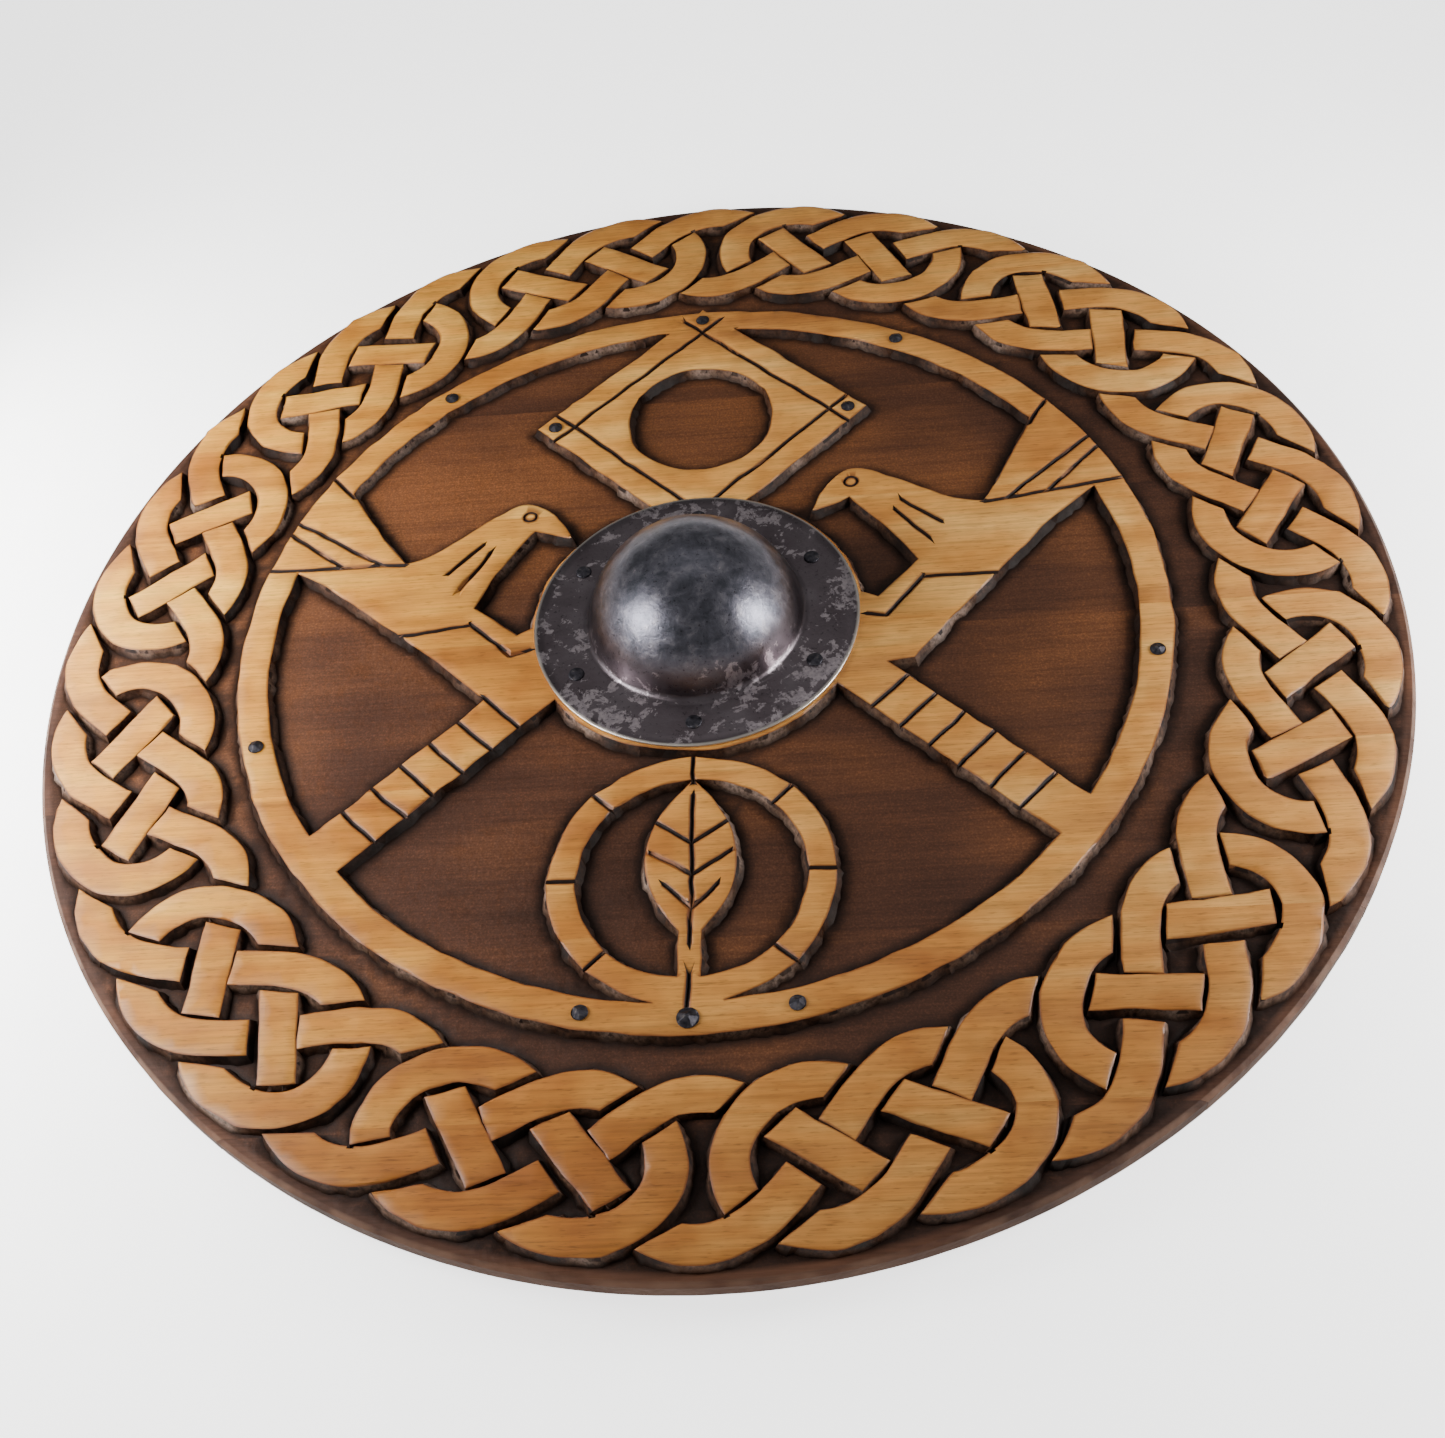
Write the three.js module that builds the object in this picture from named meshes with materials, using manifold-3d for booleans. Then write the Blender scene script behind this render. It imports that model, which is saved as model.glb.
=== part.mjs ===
// Round carved shield: a planked board with a plaited border, a ring, two ravens and an iron boss.
// Millimetres, +Z up. The shield lies face up on its two back battens, with its top towards +Y.
import * as THREE from 'three';
import { mergeVertices } from 'three/addons/utils/BufferGeometryUtils.js';
import Module from 'manifold-3d';

const wasm = await Module();
wasm.setup();

// Clearances and cutters
const seatGap = 0.3;
const overrun = 1;

// Board
const boardRadius = 420;
const boardThickness = 12;
const reliefDepth = 6;
const rimChamfer = 2.5;
const rimMargin = 7;
const rimShiftX = 6.5;
const rimShiftY = -2.9;
const plankCount = 8;
const sawingWaste = 24;
const middleJointY = -12;
const boardSides = 72;

// Carving
const wallLean = 1.2;
const lineWidth = 2.6;
const lineDepth = 2.2;
const ringWidth = 19.5;
const ringSides = 60;
const channelWidth = 19;

// Plaited border
const strandWidth = 21.5;
const strandSwing = 41.25;
const strandGroove = 3.4;
const plaitUnitLength = 189;
const columnsPerUnit = 3;
const columnStep = 0.25;
const bracketSteps = 8;
const bracketBulgeShare = 0.77;

// Lozenge with its round window
const lozengeHalfDiagonal = 113;
const lozengeOverlap = 3;
const lozengeLineInset = 18;
const windowRadius = 50;
const windowSides = 28;

// Medallion
const medallionOuterRadius = 82;
const medallionWidth = 16;
const medallionOverlap = 1.6;
const medallionTicks = 8;
const medallionSides = 32;
const leafHalfWidth = 27;
const leafVeins = 3;
const leafVeinRise = 16;
const leafSteps = 6;
const leafStemWidth = 13;
const leafStemLength = 22;

// Lower bars of the saltire
const barWidth = 32;
const barAngle = THREE.MathUtils.degToRad(-44.4);
const saltireRise = 48;
const barLastLineInset = 26.4;
const barLineStep = 22.3;
const barLines = 6;

// Ravens: outlines and lines in shares of the field's radius, for the right-hand bird
const ravenTurn = THREE.MathUtils.degToRad(3.3);
const ravenEyeRadius = 4.6;
const ravenEyeSides = 12;
const ravenOutlineShares = [
  [0.3, 0.0], [0.385, 0.022], [0.418, 0.004], [0.5, 0.085], [0.522, 0.105], [0.484, 0.185],
  [0.432, 0.26], [0.381, 0.33], [0.306, 0.302], [0.289, 0.293], [0.311, 0.352], [0.352, 0.406],
  [0.385, 0.428], [0.42, 0.43], [0.456, 0.408], [0.537, 0.352], [0.606, 0.304], [0.652, 0.276],
  [0.697, 0.272], [0.76, 0.372], [0.834, 0.512], [0.862, 0.565], [0.985, 0.29], [0.955, 0.278],
  [0.83, 0.176], [0.73, 0.074], [0.61, -0.044], [0.482, -0.187], [0.3, -0.187],
];
const ravenLineShares = [
  [[0.697, 0.268], [1.035, 0.296]],
  [[0.752, 0.272], [0.978, 0.452]],
  [[0.848, 0.28], [1.0, 0.42]],
  [[0.84, 0.515], [0.9, 0.598]],
  [[0.505, 0.306], [0.594, 0.218]],
  [[0.486, 0.276], [0.558, 0.168]],
  [[0.528, 0.052], [0.7, 0.04]],
  [[0.53, 0.058], [0.432, -0.052]],
  [[0.432, -0.052], [0.385, -0.042]],
];
const ravenEyeShares = [0.393, 0.381];

// Iron boss
const flangeWidth = 34;
const sheetThickness = 1.8;
const domeRadius = 67;
const domeHeight = 60;
const domeFillet = 5;
const bossDiscMargin = 3;
const bossSides = 40;
const domeSteps = 7;
const handHoleInset = 9;
const handHoleSides = 24;

// Boss rivets, closed over square roves on the back
const rivetCount = 6;
const rivetShankRadius = 2.5;
const rivetHeadRadius = 5;
const rivetHeadHeight = 2.6;
const rivetTailRadius = 3.6;
const rivetTailHeight = 1.4;
const roveWidth = 12;
const roveThickness = 1.5;
const roundSides = 8;

// Nails in the face
const nailShankRadius = 1.7;
const nailHeadRadius = 4.7;
const nailHeadHeight = 2;
const nailBrim = 0.7;
const bigNailHeadRadius = 6.2;
const bigNailHeadHeight = 3;
const nailGrip = 8;
const nailFloor = 4;
const ringNailDegrees = [29, 100, 168, 180, 192, 253, 321];
const bigNailDegrees = 180;

// Back battens
const battenThickness = 14;
const battenWidth = 34;
const battenSetback = 48;
const battenClearance = 4;
const battenEndSlope = 26;
const battenEndThickness = 6;
const screwHeadRadius = 4.2;
const screwShankRadius = 2;
const screwHeadDepth = 2.6;
const screwBite = 8;
const screwRecess = 0.6;
const screwStagger = 8;
const planksPerScrew = 2;
const screwSides = 6;

// Grip lath
const lathThickness = 9;
const lathRootWidth = 40;
const lathTipWidth = 26;
const lathEnd = 15;
const handleWidth = 30;
const handleRise = 12;
const handleShoulder = 10;
const handleFillet = 5;

// Heights, from the floor up
const boardBack = battenThickness + seatGap;
const ground = boardBack + boardThickness;
const reliefTop = ground + reliefDepth;
const flangeBottom = reliefTop + seatGap;
const flangeTop = flangeBottom + sheetThickness;

// Places that follow from the sizes, from the rim inwards
const rimCentre = new THREE.Vector2(rimShiftX, rimShiftY);
const plaitMiddle = boardRadius - rimMargin - strandWidth / 2 - strandSwing;
const plaitInner = plaitMiddle - strandSwing - strandWidth / 2;
const plaitUnits = Math.round((2 * Math.PI * plaitMiddle) / plaitUnitLength);
const columnAngle = (2 * Math.PI) / (plaitUnits * columnsPerUnit);
const ringOuterRadius = plaitInner - channelWidth;
const fieldRadius = ringOuterRadius - ringWidth;
const ringMiddle = (ringOuterRadius + fieldRadius) / 2;
const lozengeCentreY = ringOuterRadius + lozengeOverlap - lozengeHalfDiagonal;
const cornerNailOffset = lozengeHalfDiagonal - lozengeLineInset / Math.SQRT2;
const medallionCentreY = medallionOuterRadius - medallionOverlap - fieldRadius;
const flangeRadius = domeRadius + flangeWidth;
const rivetCircle = domeRadius + flangeWidth / 2;
const bossDiscRadius = flangeRadius + bossDiscMargin;
const handHoleRadius = domeRadius - handHoleInset;
const plankWidth = (2 * boardRadius + sawingWaste) / plankCount;
const battenReach = boardRadius - battenSetback;

// Materials
function finish(color, roughness, metalness) {
  return { color, roughness, metalness };
}
const lightWood = finish(0xcfa86e, 0.6, 0);
const backWood = finish(0x8a5c3a, 0.75, 0);
const oiledWood = finish(0x6e452a, 0.55, 0);
const bluedSteel = finish(0x55555c, 0.4, 0.9);
const blackIron = finish(0x2c2c30, 0.55, 0.8);
const zincSteel = finish(0x8d8f94, 0.45, 0.9);

// Solids and joins

function solid(geometry) {
  const bare = geometry.clone();
  bare.deleteAttribute('normal');
  bare.deleteAttribute('uv');
  const merged = mergeVertices(bare);
  const corners = merged.index.array;
  const kept = [];
  for (let i = 0; i < corners.length; i += 3) {
    const [a, b, c] = corners.slice(i, i + 3);
    if (a !== b && b !== c && c !== a) kept.push(a, b, c);
  }
  const vertProperties = new Float32Array(merged.attributes.position.array);
  const mesh = new wasm.Mesh({ numProp: 3, vertProperties, triVerts: new Uint32Array(kept) });
  return new wasm.Manifold(mesh);
}

function geometryOf(body) {
  const mesh = body.getMesh();
  const geometry = new THREE.BufferGeometry();
  geometry.setAttribute('position', new THREE.BufferAttribute(mesh.vertProperties, 3));
  geometry.setIndex(new THREE.BufferAttribute(mesh.triVerts, 1));
  geometry.computeVertexNormals();
  return geometry;
}

function joined(bodies) {
  if (bodies.length === 1) return bodies[0];
  const half = Math.ceil(bodies.length / 2);
  return joined(bodies.slice(0, half)).add(joined(bodies.slice(half)));
}

function without(body, cutters) {
  return cutters.length > 0 ? body.subtract(joined(cutters)) : body;
}

// Outlines

function point(radius, angle) {
  return new THREE.Vector2(radius * Math.sin(angle), radius * Math.cos(angle));
}

function circle(radius, sides, centre = new THREE.Vector2()) {
  const points = [];
  for (let i = 0; i < sides; i += 1) {
    points.push(point(radius, (-2 * Math.PI * i) / sides).add(centre));
  }
  return points;
}

function outlineOf(pairs, size = 1) {
  return pairs.map(([x, y]) => new THREE.Vector2(x, y).multiplyScalar(size));
}

function rectangle(left, bottom, right, top) {
  return outlineOf([[left, bottom], [right, bottom], [right, top], [left, top]]);
}

function shapeOf(outline, holes = []) {
  const shape = new THREE.Shape(outline);
  holes.forEach((hole) => shape.holes.push(new THREE.Path(hole)));
  return shape;
}

// An upright block between two heights.
function block(outline, low, high, holes = []) {
  const options = { depth: high - low, bevelEnabled: false };
  return solid(new THREE.ExtrudeGeometry(shapeOf(outline, holes), options).translate(0, 0, low));
}

// A carved block: its top face has the outline, and its walls lean out down to the ground and run on below.
function carving(outline, holes = []) {
  const geometry = new THREE.ExtrudeGeometry(shapeOf(outline, holes), {
    depth: overrun,
    bevelThickness: reliefDepth,
    bevelSize: wallLean,
    bevelSegments: 1,
  });
  return solid(geometry.translate(0, 0, ground - overrun));
}

// A V-shaped cut in the carved face, along a straight line.
function incision(from, to) {
  const along = to.clone().sub(from);
  const half = lineWidth / 2;
  const rise = overrun * (half / lineDepth);
  const section = new THREE.Shape([
    new THREE.Vector2(0, -lineDepth),
    new THREE.Vector2(half + rise, overrun),
    new THREE.Vector2(-half - rise, overrun),
  ]);
  const geometry = new THREE.ExtrudeGeometry(section, { depth: along.length(), bevelEnabled: false });
  geometry.rotateX(Math.PI / 2).rotateZ(Math.atan2(along.y, along.x) + Math.PI / 2);
  return solid(geometry.translate(from.x, from.y, reliefTop));
}

// A turned piece about a vertical axis, from a profile of [radius, height] that starts and ends on the axis.
function turned(profile, sides, x = 0, y = 0) {
  const points = profile.map(([radius, height]) => new THREE.Vector2(radius, height));
  const geometry = new THREE.LatheGeometry(points, sides).rotateX(Math.PI / 2);
  return solid(geometry.translate(x, y, 0));
}

function bore(radius, x, y, low, high, sides = roundSides) {
  return turned([[0, low], [radius, low], [radius, high], [0, high]], sides, x, y);
}

// Plaited border, in columns round the board and rows from -1 at its inner edge to 1 at its outer edge

function plaitPoint([column, row]) {
  return point(plaitMiddle + row * strandSwing, column * columnAngle);
}

// A strand waves between the rows, one column from row 0 to a crest, and runs straight through row 0.
function wave(crest, side, first, last) {
  const points = [];
  for (let column = first; column <= last; column += columnStep) {
    const nearMiddle = Math.abs(Math.abs(column - crest) - 3 * columnStep) < columnStep / 2;
    if (!nearMiddle) points.push([column, side * Math.cos(((column - crest) * Math.PI) / 2)]);
  }
  return points;
}

// Beside a break a strand turns back in a bracket that bulges from its middle column towards the break.
function bracket(middle, bulge, first, last) {
  const points = [];
  for (let step = first; step <= last; step += 1) {
    const angle = (step * Math.PI) / bracketSteps;
    points.push([middle + bulge * bracketBulgeShare * Math.cos(angle), Math.sin(angle)]);
  }
  return points;
}

// Each run is one visible stretch of strand, from the crossing where it comes up to the one where it dives.
// Rows of crossings: the strand that climbs is on top at the edges, and the one that falls in the middle.
const eighthTurn = bracketSteps / 4;
const quarterTurn = bracketSteps / 2;
const rise = Math.SQRT1_2;
const plaitRunShares = [
  {
    from: [0.5, -rise],
    to: [1.5, rise],
    line: [...bracket(1, -1, -eighthTurn, quarterTurn), ...wave(1, 1, 1 + columnStep, 1.5)],
  },
  { from: [1, 0], to: [2.5, rise], line: wave(2, 1, 1, 2.5) },
  { from: [2, 0], to: [3.5, rise], line: wave(3, 1, 2, 3.5) },
  { from: [0.5, rise], to: [1.5, -rise], line: [[0.5, rise], [1.5, -rise]] },
  { from: [1.5, rise], to: [2.5, -rise], line: [[1.5, rise], [2.5, -rise]] },
  { from: [-0.5, -rise], to: [1, 0], line: wave(0, -1, -0.5, 1) },
  { from: [0.5, -rise], to: [2, 0], line: wave(1, -1, 0.5, 2) },
  {
    from: [1.5, -rise],
    to: [2.5, rise],
    line: [...wave(2, -1, 1.5, 2 - columnStep), ...bracket(2, 1, -quarterTurn, eighthTurn)],
  },
];

// Where a run dives, its end is cut along the side of the strand above, a groove's width away.
function cutAcross(edge, crossing, inside) {
  const slope = crossing[1] === 0 ? -Math.PI / 2 : (Math.PI / 2) * rise;
  const centre = plaitPoint(crossing);
  const ahead = plaitPoint([crossing[0] + columnStep, crossing[1] + slope * columnStep]);
  const back = plaitPoint([crossing[0] - columnStep, crossing[1] - slope * columnStep]);
  const along = ahead.sub(back).normalize();
  const distance = (p) => along.cross(p.clone().sub(centre));
  const side = Math.sign(distance(inside));
  const reach = strandWidth / 2 + strandGroove;
  let i = 1;
  while (i < edge.length - 1 && side * distance(edge[i]) < reach) i += 1;
  const before = side * distance(edge[i - 1]);
  const after = side * distance(edge[i]);
  const start = edge[i - 1].clone().lerp(edge[i], (reach - before) / (after - before));
  return [start, ...edge.slice(i)];
}

function strandOutline(run) {
  const centres = run.line.map(plaitPoint);
  const edge = (sideways) => centres.map((p, i) => {
    const before = centres[Math.max(i - 1, 0)];
    const after = centres[Math.min(i + 1, centres.length - 1)];
    const along = after.clone().sub(before).normalize();
    return new THREE.Vector2(-along.y, along.x).multiplyScalar(sideways).add(p);
  });
  const inside = (end, next) => end.clone().lerp(next, centres.length > 2 ? 1 : 1 / 2);
  const trimmed = (points) => {
    const started = cutAcross(points, run.from, inside(centres[0], centres[1]));
    return cutAcross(started.reverse(), run.to, inside(centres.at(-1), centres.at(-2))).reverse();
  };
  const left = trimmed(edge(strandWidth / 2));
  const right = trimmed(edge(-strandWidth / 2));
  return [...left, ...right.reverse()];
}

function plait() {
  const outlines = plaitRunShares.map(strandOutline);
  const strands = [];
  for (let unit = 0; unit < plaitUnits; unit += 1) {
    const turn = (-2 * Math.PI * unit) / plaitUnits;
    const placed = (p) => p.clone().rotateAround(new THREE.Vector2(), turn).add(rimCentre);
    outlines.forEach((outline) => strands.push(carving(outline.map(placed))));
  }
  return strands;
}

// Ravens: the left-hand bird mirrors the right-hand one, and the pair is turned a little as one.
function ravenPoints(shares, hand) {
  return outlineOf(shares, fieldRadius).map((p) => {
    p.x *= hand;
    return p.rotateAround(new THREE.Vector2(), ravenTurn);
  });
}

function raven(hand) {
  return carving(ravenPoints(ravenOutlineShares, hand));
}

function ravenLines(hand) {
  const lines = ravenLineShares.map((ends) => incision(...ravenPoints(ends, hand)));
  const [centre] = ravenPoints([ravenEyeShares], hand);
  const outer = circle(ravenEyeRadius, ravenEyeSides, centre);
  const inner = circle(ravenEyeRadius - lineWidth / 2, ravenEyeSides, centre);
  lines.push(block(outer, reliefTop - lineDepth / 2, reliefTop + overrun, [inner]));
  return lines;
}

// Lower bars: each runs from under the boss to the ring, and cross lines part its outer end into blocks.
function barPoint(along, across, hand) {
  const p = new THREE.Vector2(along, across).rotateAround(new THREE.Vector2(), barAngle);
  return new THREE.Vector2(hand * p.x, p.y + saltireRise);
}

// How far along a bar, from the middle of the saltire, it crosses a circle about the board's centre.
function barReach(radius) {
  const climb = saltireRise * Math.sin(barAngle);
  return Math.sqrt(climb ** 2 - saltireRise ** 2 + radius ** 2) - climb;
}

function bar(hand) {
  const start = barReach((handHoleRadius + bossDiscRadius) / 2);
  const end = barReach(ringMiddle);
  const side = barWidth / 2;
  const corners = [[start, -side], [end, -side], [end, side], [start, side]];
  return carving(corners.map(([along, across]) => barPoint(along, across, hand)));
}

function barCuts(hand) {
  const cuts = [];
  const last = barReach(fieldRadius) - barLastLineInset;
  for (let i = 0; i < barLines; i += 1) {
    const along = last - i * barLineStep;
    const side = barWidth / 2 + wallLean + overrun;
    cuts.push(incision(barPoint(along, -side, hand), barPoint(along, side, hand)));
  }
  return cuts;
}

// Lozenge: a square on its corner, with lines inside its edges that cross at the corners.
function lozengePoint(along, across) {
  const p = new THREE.Vector2(along, across).rotateAround(new THREE.Vector2(), Math.PI / 4);
  return new THREE.Vector2(p.x, p.y + lozengeCentreY);
}

function lozenge() {
  const half = lozengeHalfDiagonal / Math.SQRT2;
  const outline = rectangle(-half, -half, half, half).map((p) => lozengePoint(p.x, p.y));
  const window = circle(windowRadius, windowSides, new THREE.Vector2(0, lozengeCentreY));
  return carving(outline, [window.reverse()]);
}

function lozengeLines() {
  const half = lozengeHalfDiagonal / Math.SQRT2;
  const inset = half - lozengeLineInset;
  const end = half + overrun;
  return [-inset, inset].flatMap((offset) => [
    incision(lozengePoint(-end, offset), lozengePoint(end, offset)),
    incision(lozengePoint(offset, -end), lozengePoint(offset, end)),
  ]);
}

// Medallion: a ticked ring round an upright leaf on a short stem.
function ringBand(outer, inner, sides, centre = new THREE.Vector2()) {
  return carving(circle(outer, sides, centre), [circle(inner, sides, centre).reverse()]);
}

const medallionInnerRadius = medallionOuterRadius - medallionWidth;
const leafBase = medallionCentreY - medallionInnerRadius + leafStemLength;
const leafTip = medallionCentreY + medallionInnerRadius;

function leafHalfWidthAt(share) {
  return 4 * leafHalfWidth * share * (1 - share);
}

function leaf() {
  const length = leafTip - leafBase;
  const side = (hand) => {
    const points = [];
    for (let i = 0; i <= leafSteps; i += 1) {
      const share = i / leafSteps;
      points.push(new THREE.Vector2(hand * leafHalfWidthAt(share), leafBase + share * length));
    }
    return points;
  };
  const outline = [...side(1), ...side(-1).slice(1, -1).reverse()];
  const stemBottom = leafBase - leafStemLength - medallionWidth / 2;
  const stemTop = leafBase + leafStemLength;
  const stem = rectangle(-leafStemWidth / 2, stemBottom, leafStemWidth / 2, stemTop);
  return [carving(outline), carving(stem)];
}

function medallionLines() {
  const centre = new THREE.Vector2(0, medallionCentreY);
  const lines = [];
  for (let i = 0; i < medallionTicks; i += 1) {
    const angle = (2 * Math.PI * i) / medallionTicks;
    const inner = point(medallionInnerRadius - wallLean - overrun, angle).add(centre);
    const outer = point(medallionOuterRadius + wallLean + overrun, angle).add(centre);
    lines.push(incision(inner, outer));
  }
  const root = new THREE.Vector2(0, leafBase);
  const crown = new THREE.Vector2(0, leafTip - leafStemLength / 2);
  lines.push(incision(root, crown));
  for (let i = 1; i <= leafVeins; i += 1) {
    const share = i / (leafVeins + 2);
    const foot = leafBase + share * (leafTip - leafBase);
    const width = leafHalfWidthAt(share) - lineWidth;
    [-1, 1].forEach((hand) => {
      lines.push(incision(new THREE.Vector2(0, foot), new THREE.Vector2(hand * width, foot + leafVeinRise)));
    });
  }
  return lines;
}

// Fasteners: places first, because the wood takes its holes from them

const rivetPlaces = [];
for (let i = 0; i < rivetCount; i += 1) {
  rivetPlaces.push(point(rivetCircle, (2 * Math.PI * i) / rivetCount));
}
const roveSide = Math.max(...rivetPlaces.map((p) => p.x)) + roveWidth / 2;
const battenX = Math.max(cornerNailOffset, roveSide + battenClearance + battenWidth / 2);
const onLath = (p) => Math.abs(p.x) < lathTipWidth / 2;
const onBatten = (p) => Math.abs(Math.abs(p.x) - battenX) < battenWidth / 2 - nailShankRadius - seatGap;

const lozengeNailPlaces = [
  new THREE.Vector2(-cornerNailOffset, lozengeCentreY),
  new THREE.Vector2(0, lozengeCentreY + cornerNailOffset),
  new THREE.Vector2(cornerNailOffset, lozengeCentreY),
];
const ringNailPlaces = ringNailDegrees.map((degrees) => point(ringMiddle, THREE.MathUtils.degToRad(degrees)));

// A nail ends in the batten or lath behind it, or else blind in the board.
function nailAt(place, big) {
  const backed = onLath(place) || onBatten(place);
  return { place, big, bottom: backed ? boardBack - seatGap - nailGrip : boardBack + nailFloor };
}
const lozengeNails = lozengeNailPlaces.map((place) => nailAt(place, false));
const ringNails = ringNailPlaces.map((place, i) => nailAt(place, ringNailDegrees[i] === bigNailDegrees));
const faceNails = [...lozengeNails, ...ringNails];

const plankEdges = [];
for (let i = 0; i <= plankCount; i += 1) {
  plankEdges.push(middleJointY + (i - plankCount / 2) * plankWidth);
}

// Screws go into every second plank, staggered about the batten's middle line so that it doesn't split.
const screwPlaces = [];
for (let i = 1; i + 1 < plankEdges.length; i += planksPerScrew) {
  const y = (Math.min(plankEdges[i + 1], battenReach) + plankEdges[i]) / 2;
  const aside = screwPlaces.length % 4 === 0 ? screwStagger : -screwStagger;
  [-battenX, battenX].forEach((x) => screwPlaces.push(new THREE.Vector2(x + aside, y)));
}

// Board, cut into its planks

function board() {
  const disc = turned([
    [0, boardBack],
    [boardRadius, boardBack],
    [boardRadius, ground - rimChamfer],
    [boardRadius - rimChamfer, ground],
    [0, ground],
  ], boardSides, rimShiftX, rimShiftY);
  const bossDisc = carving(circle(bossDiscRadius, bossSides));
  const ring = ringBand(ringOuterRadius, fieldRadius, ringSides);
  const medallionCentre = new THREE.Vector2(0, medallionCentreY);
  const medallion = ringBand(medallionOuterRadius, medallionInnerRadius, medallionSides, medallionCentre);
  const field = [bossDisc, ring, lozenge(), medallion, ...leaf(), raven(1), raven(-1), bar(1), bar(-1)];
  return joined([disc, ...field, ...plait()]);
}

function boardCutters() {
  const low = boardBack - overrun;
  const high = reliefTop + overrun;
  const mirrored = [1, -1].flatMap((hand) => [...ravenLines(hand), ...barCuts(hand)]);
  const lines = [...mirrored, ...lozengeLines(), ...medallionLines()];
  const handHole = block(circle(handHoleRadius, handHoleSides), low, high);
  const rivetHoles = rivetPlaces.map((p) => bore(rivetShankRadius + seatGap, p.x, p.y, low, high));
  const nailHoles = faceNails.map(({ place, bottom }) => {
    const floor = bottom < boardBack ? low : bottom - seatGap;
    return bore(nailShankRadius + seatGap, place.x, place.y, floor, high);
  });
  const screwTop = boardBack + screwBite + seatGap;
  const screwHoles = screwPlaces.map((p) => {
    return bore(screwShankRadius + seatGap, p.x, p.y, low, screwTop, screwSides);
  });
  return [handHole, ...lines, ...rivetHoles, ...nailHoles, ...screwHoles];
}

const parts = new THREE.Group();

function addPart(name, body, { color, roughness, metalness }) {
  const material = new THREE.MeshStandardMaterial({ color, roughness, metalness });
  const mesh = new THREE.Mesh(geometryOf(body), material);
  mesh.name = name;
  parts.add(mesh);
}

const carvedBoard = without(board(), boardCutters());
for (let i = 0; i + 1 < plankEdges.length; i += 1) {
  const low = plankEdges[i] + seatGap / 2;
  const high = plankEdges[i + 1] - seatGap / 2;
  const strip = rectangle(rimShiftX - boardRadius - overrun, low, rimShiftX + boardRadius + overrun, high);
  const plank = carvedBoard.intersect(block(strip, boardBack - overrun, reliefTop + overrun));
  addPart(`plank_${i + 1}`, plank, lightWood);
}

// Boss: a dome raised from sheet, with a small fillet into a flat flange.
// A spherical cap from its top down to the fillet, which is tangent to both the cap and the flange.
function domeProfile(wall, filletRadius, base) {
  const sphere = (wall ** 2 + domeHeight ** 2) / (2 * domeHeight);
  const centre = domeHeight - sphere;
  const filletCentre = Math.sqrt((sphere + filletRadius) ** 2 - (filletRadius - centre) ** 2);
  const meet = Math.atan2(filletRadius - centre, filletCentre);
  const profile = [[0, base + domeHeight]];
  for (let i = 1; i <= domeSteps; i += 1) {
    const angle = Math.PI / 2 + (meet - Math.PI / 2) * (i / domeSteps);
    profile.push([sphere * Math.cos(angle), base + centre + sphere * Math.sin(angle)]);
  }
  const turn = Math.PI / 2 - meet;
  profile.push([
    filletCentre - filletRadius * Math.sin(turn / 2),
    base + filletRadius * (1 - Math.cos(turn / 2)),
  ]);
  profile.push([filletCentre, base]);
  return profile;
}

function boss() {
  const outer = domeProfile(domeRadius, domeFillet, flangeTop);
  const inner = domeProfile(domeRadius - sheetThickness, domeFillet + sheetThickness, flangeBottom);
  const edge = [[flangeRadius, flangeBottom], [flangeRadius, flangeTop]];
  const shell = turned([...inner, ...edge, ...outer.reverse()], bossSides);
  const holes = rivetPlaces.map((p) => {
    return bore(rivetShankRadius + seatGap, p.x, p.y, flangeBottom - overrun, flangeTop + overrun);
  });
  return without(shell, holes);
}
addPart('boss', boss(), bluedSteel);

// Boss rivets: those over the lath pass through it too.
const lathBack = boardBack - seatGap - lathThickness;
rivetPlaces.forEach((place, i) => {
  const carrierBack = onLath(place) ? lathBack : boardBack;
  const headBottom = flangeTop + seatGap;
  const roveTop = carrierBack - seatGap;
  const tailTop = roveTop - roveThickness - seatGap;
  const rivet = turned([
    [0, tailTop - rivetTailHeight],
    [rivetTailRadius * Math.SQRT1_2, tailTop - rivetTailHeight * Math.SQRT1_2],
    [rivetTailRadius, tailTop],
    [rivetShankRadius, tailTop],
    [rivetShankRadius, headBottom],
    [rivetHeadRadius, headBottom],
    [rivetHeadRadius * Math.SQRT1_2, headBottom + rivetHeadHeight * Math.SQRT1_2],
    [0, headBottom + rivetHeadHeight],
  ], roundSides, place.x, place.y);
  addPart(`boss_rivet_${i + 1}`, rivet, blackIron);

  const half = roveWidth / 2;
  const square = rectangle(-half, -half, half, half).map((p) => p.add(place));
  const roveBottom = roveTop - roveThickness;
  const plate = block(square, roveBottom, roveTop);
  const hole = bore(rivetShankRadius + seatGap, place.x, place.y, roveBottom - overrun, roveTop + overrun);
  addPart(`boss_rove_${i + 1}`, plate.subtract(hole), blackIron);
});

// Face nails: a low faceted head over a thin shank.
function nail({ place, big, bottom }) {
  const radius = big ? bigNailHeadRadius : nailHeadRadius;
  const height = big ? bigNailHeadHeight : nailHeadHeight;
  const under = reliefTop + seatGap;
  return turned([
    [0, bottom],
    [nailShankRadius, bottom + nailShankRadius],
    [nailShankRadius, under],
    [radius, under],
    [radius - nailBrim, under + nailBrim],
    [0, under + height],
  ], roundSides, place.x, place.y);
}
lozengeNails.forEach((entry, i) => addPart(`lozenge_nail_${i + 1}`, nail(entry), blackIron));
ringNails.forEach((entry, i) => addPart(`ring_nail_${i + 1}`, nail(entry), blackIron));

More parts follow.
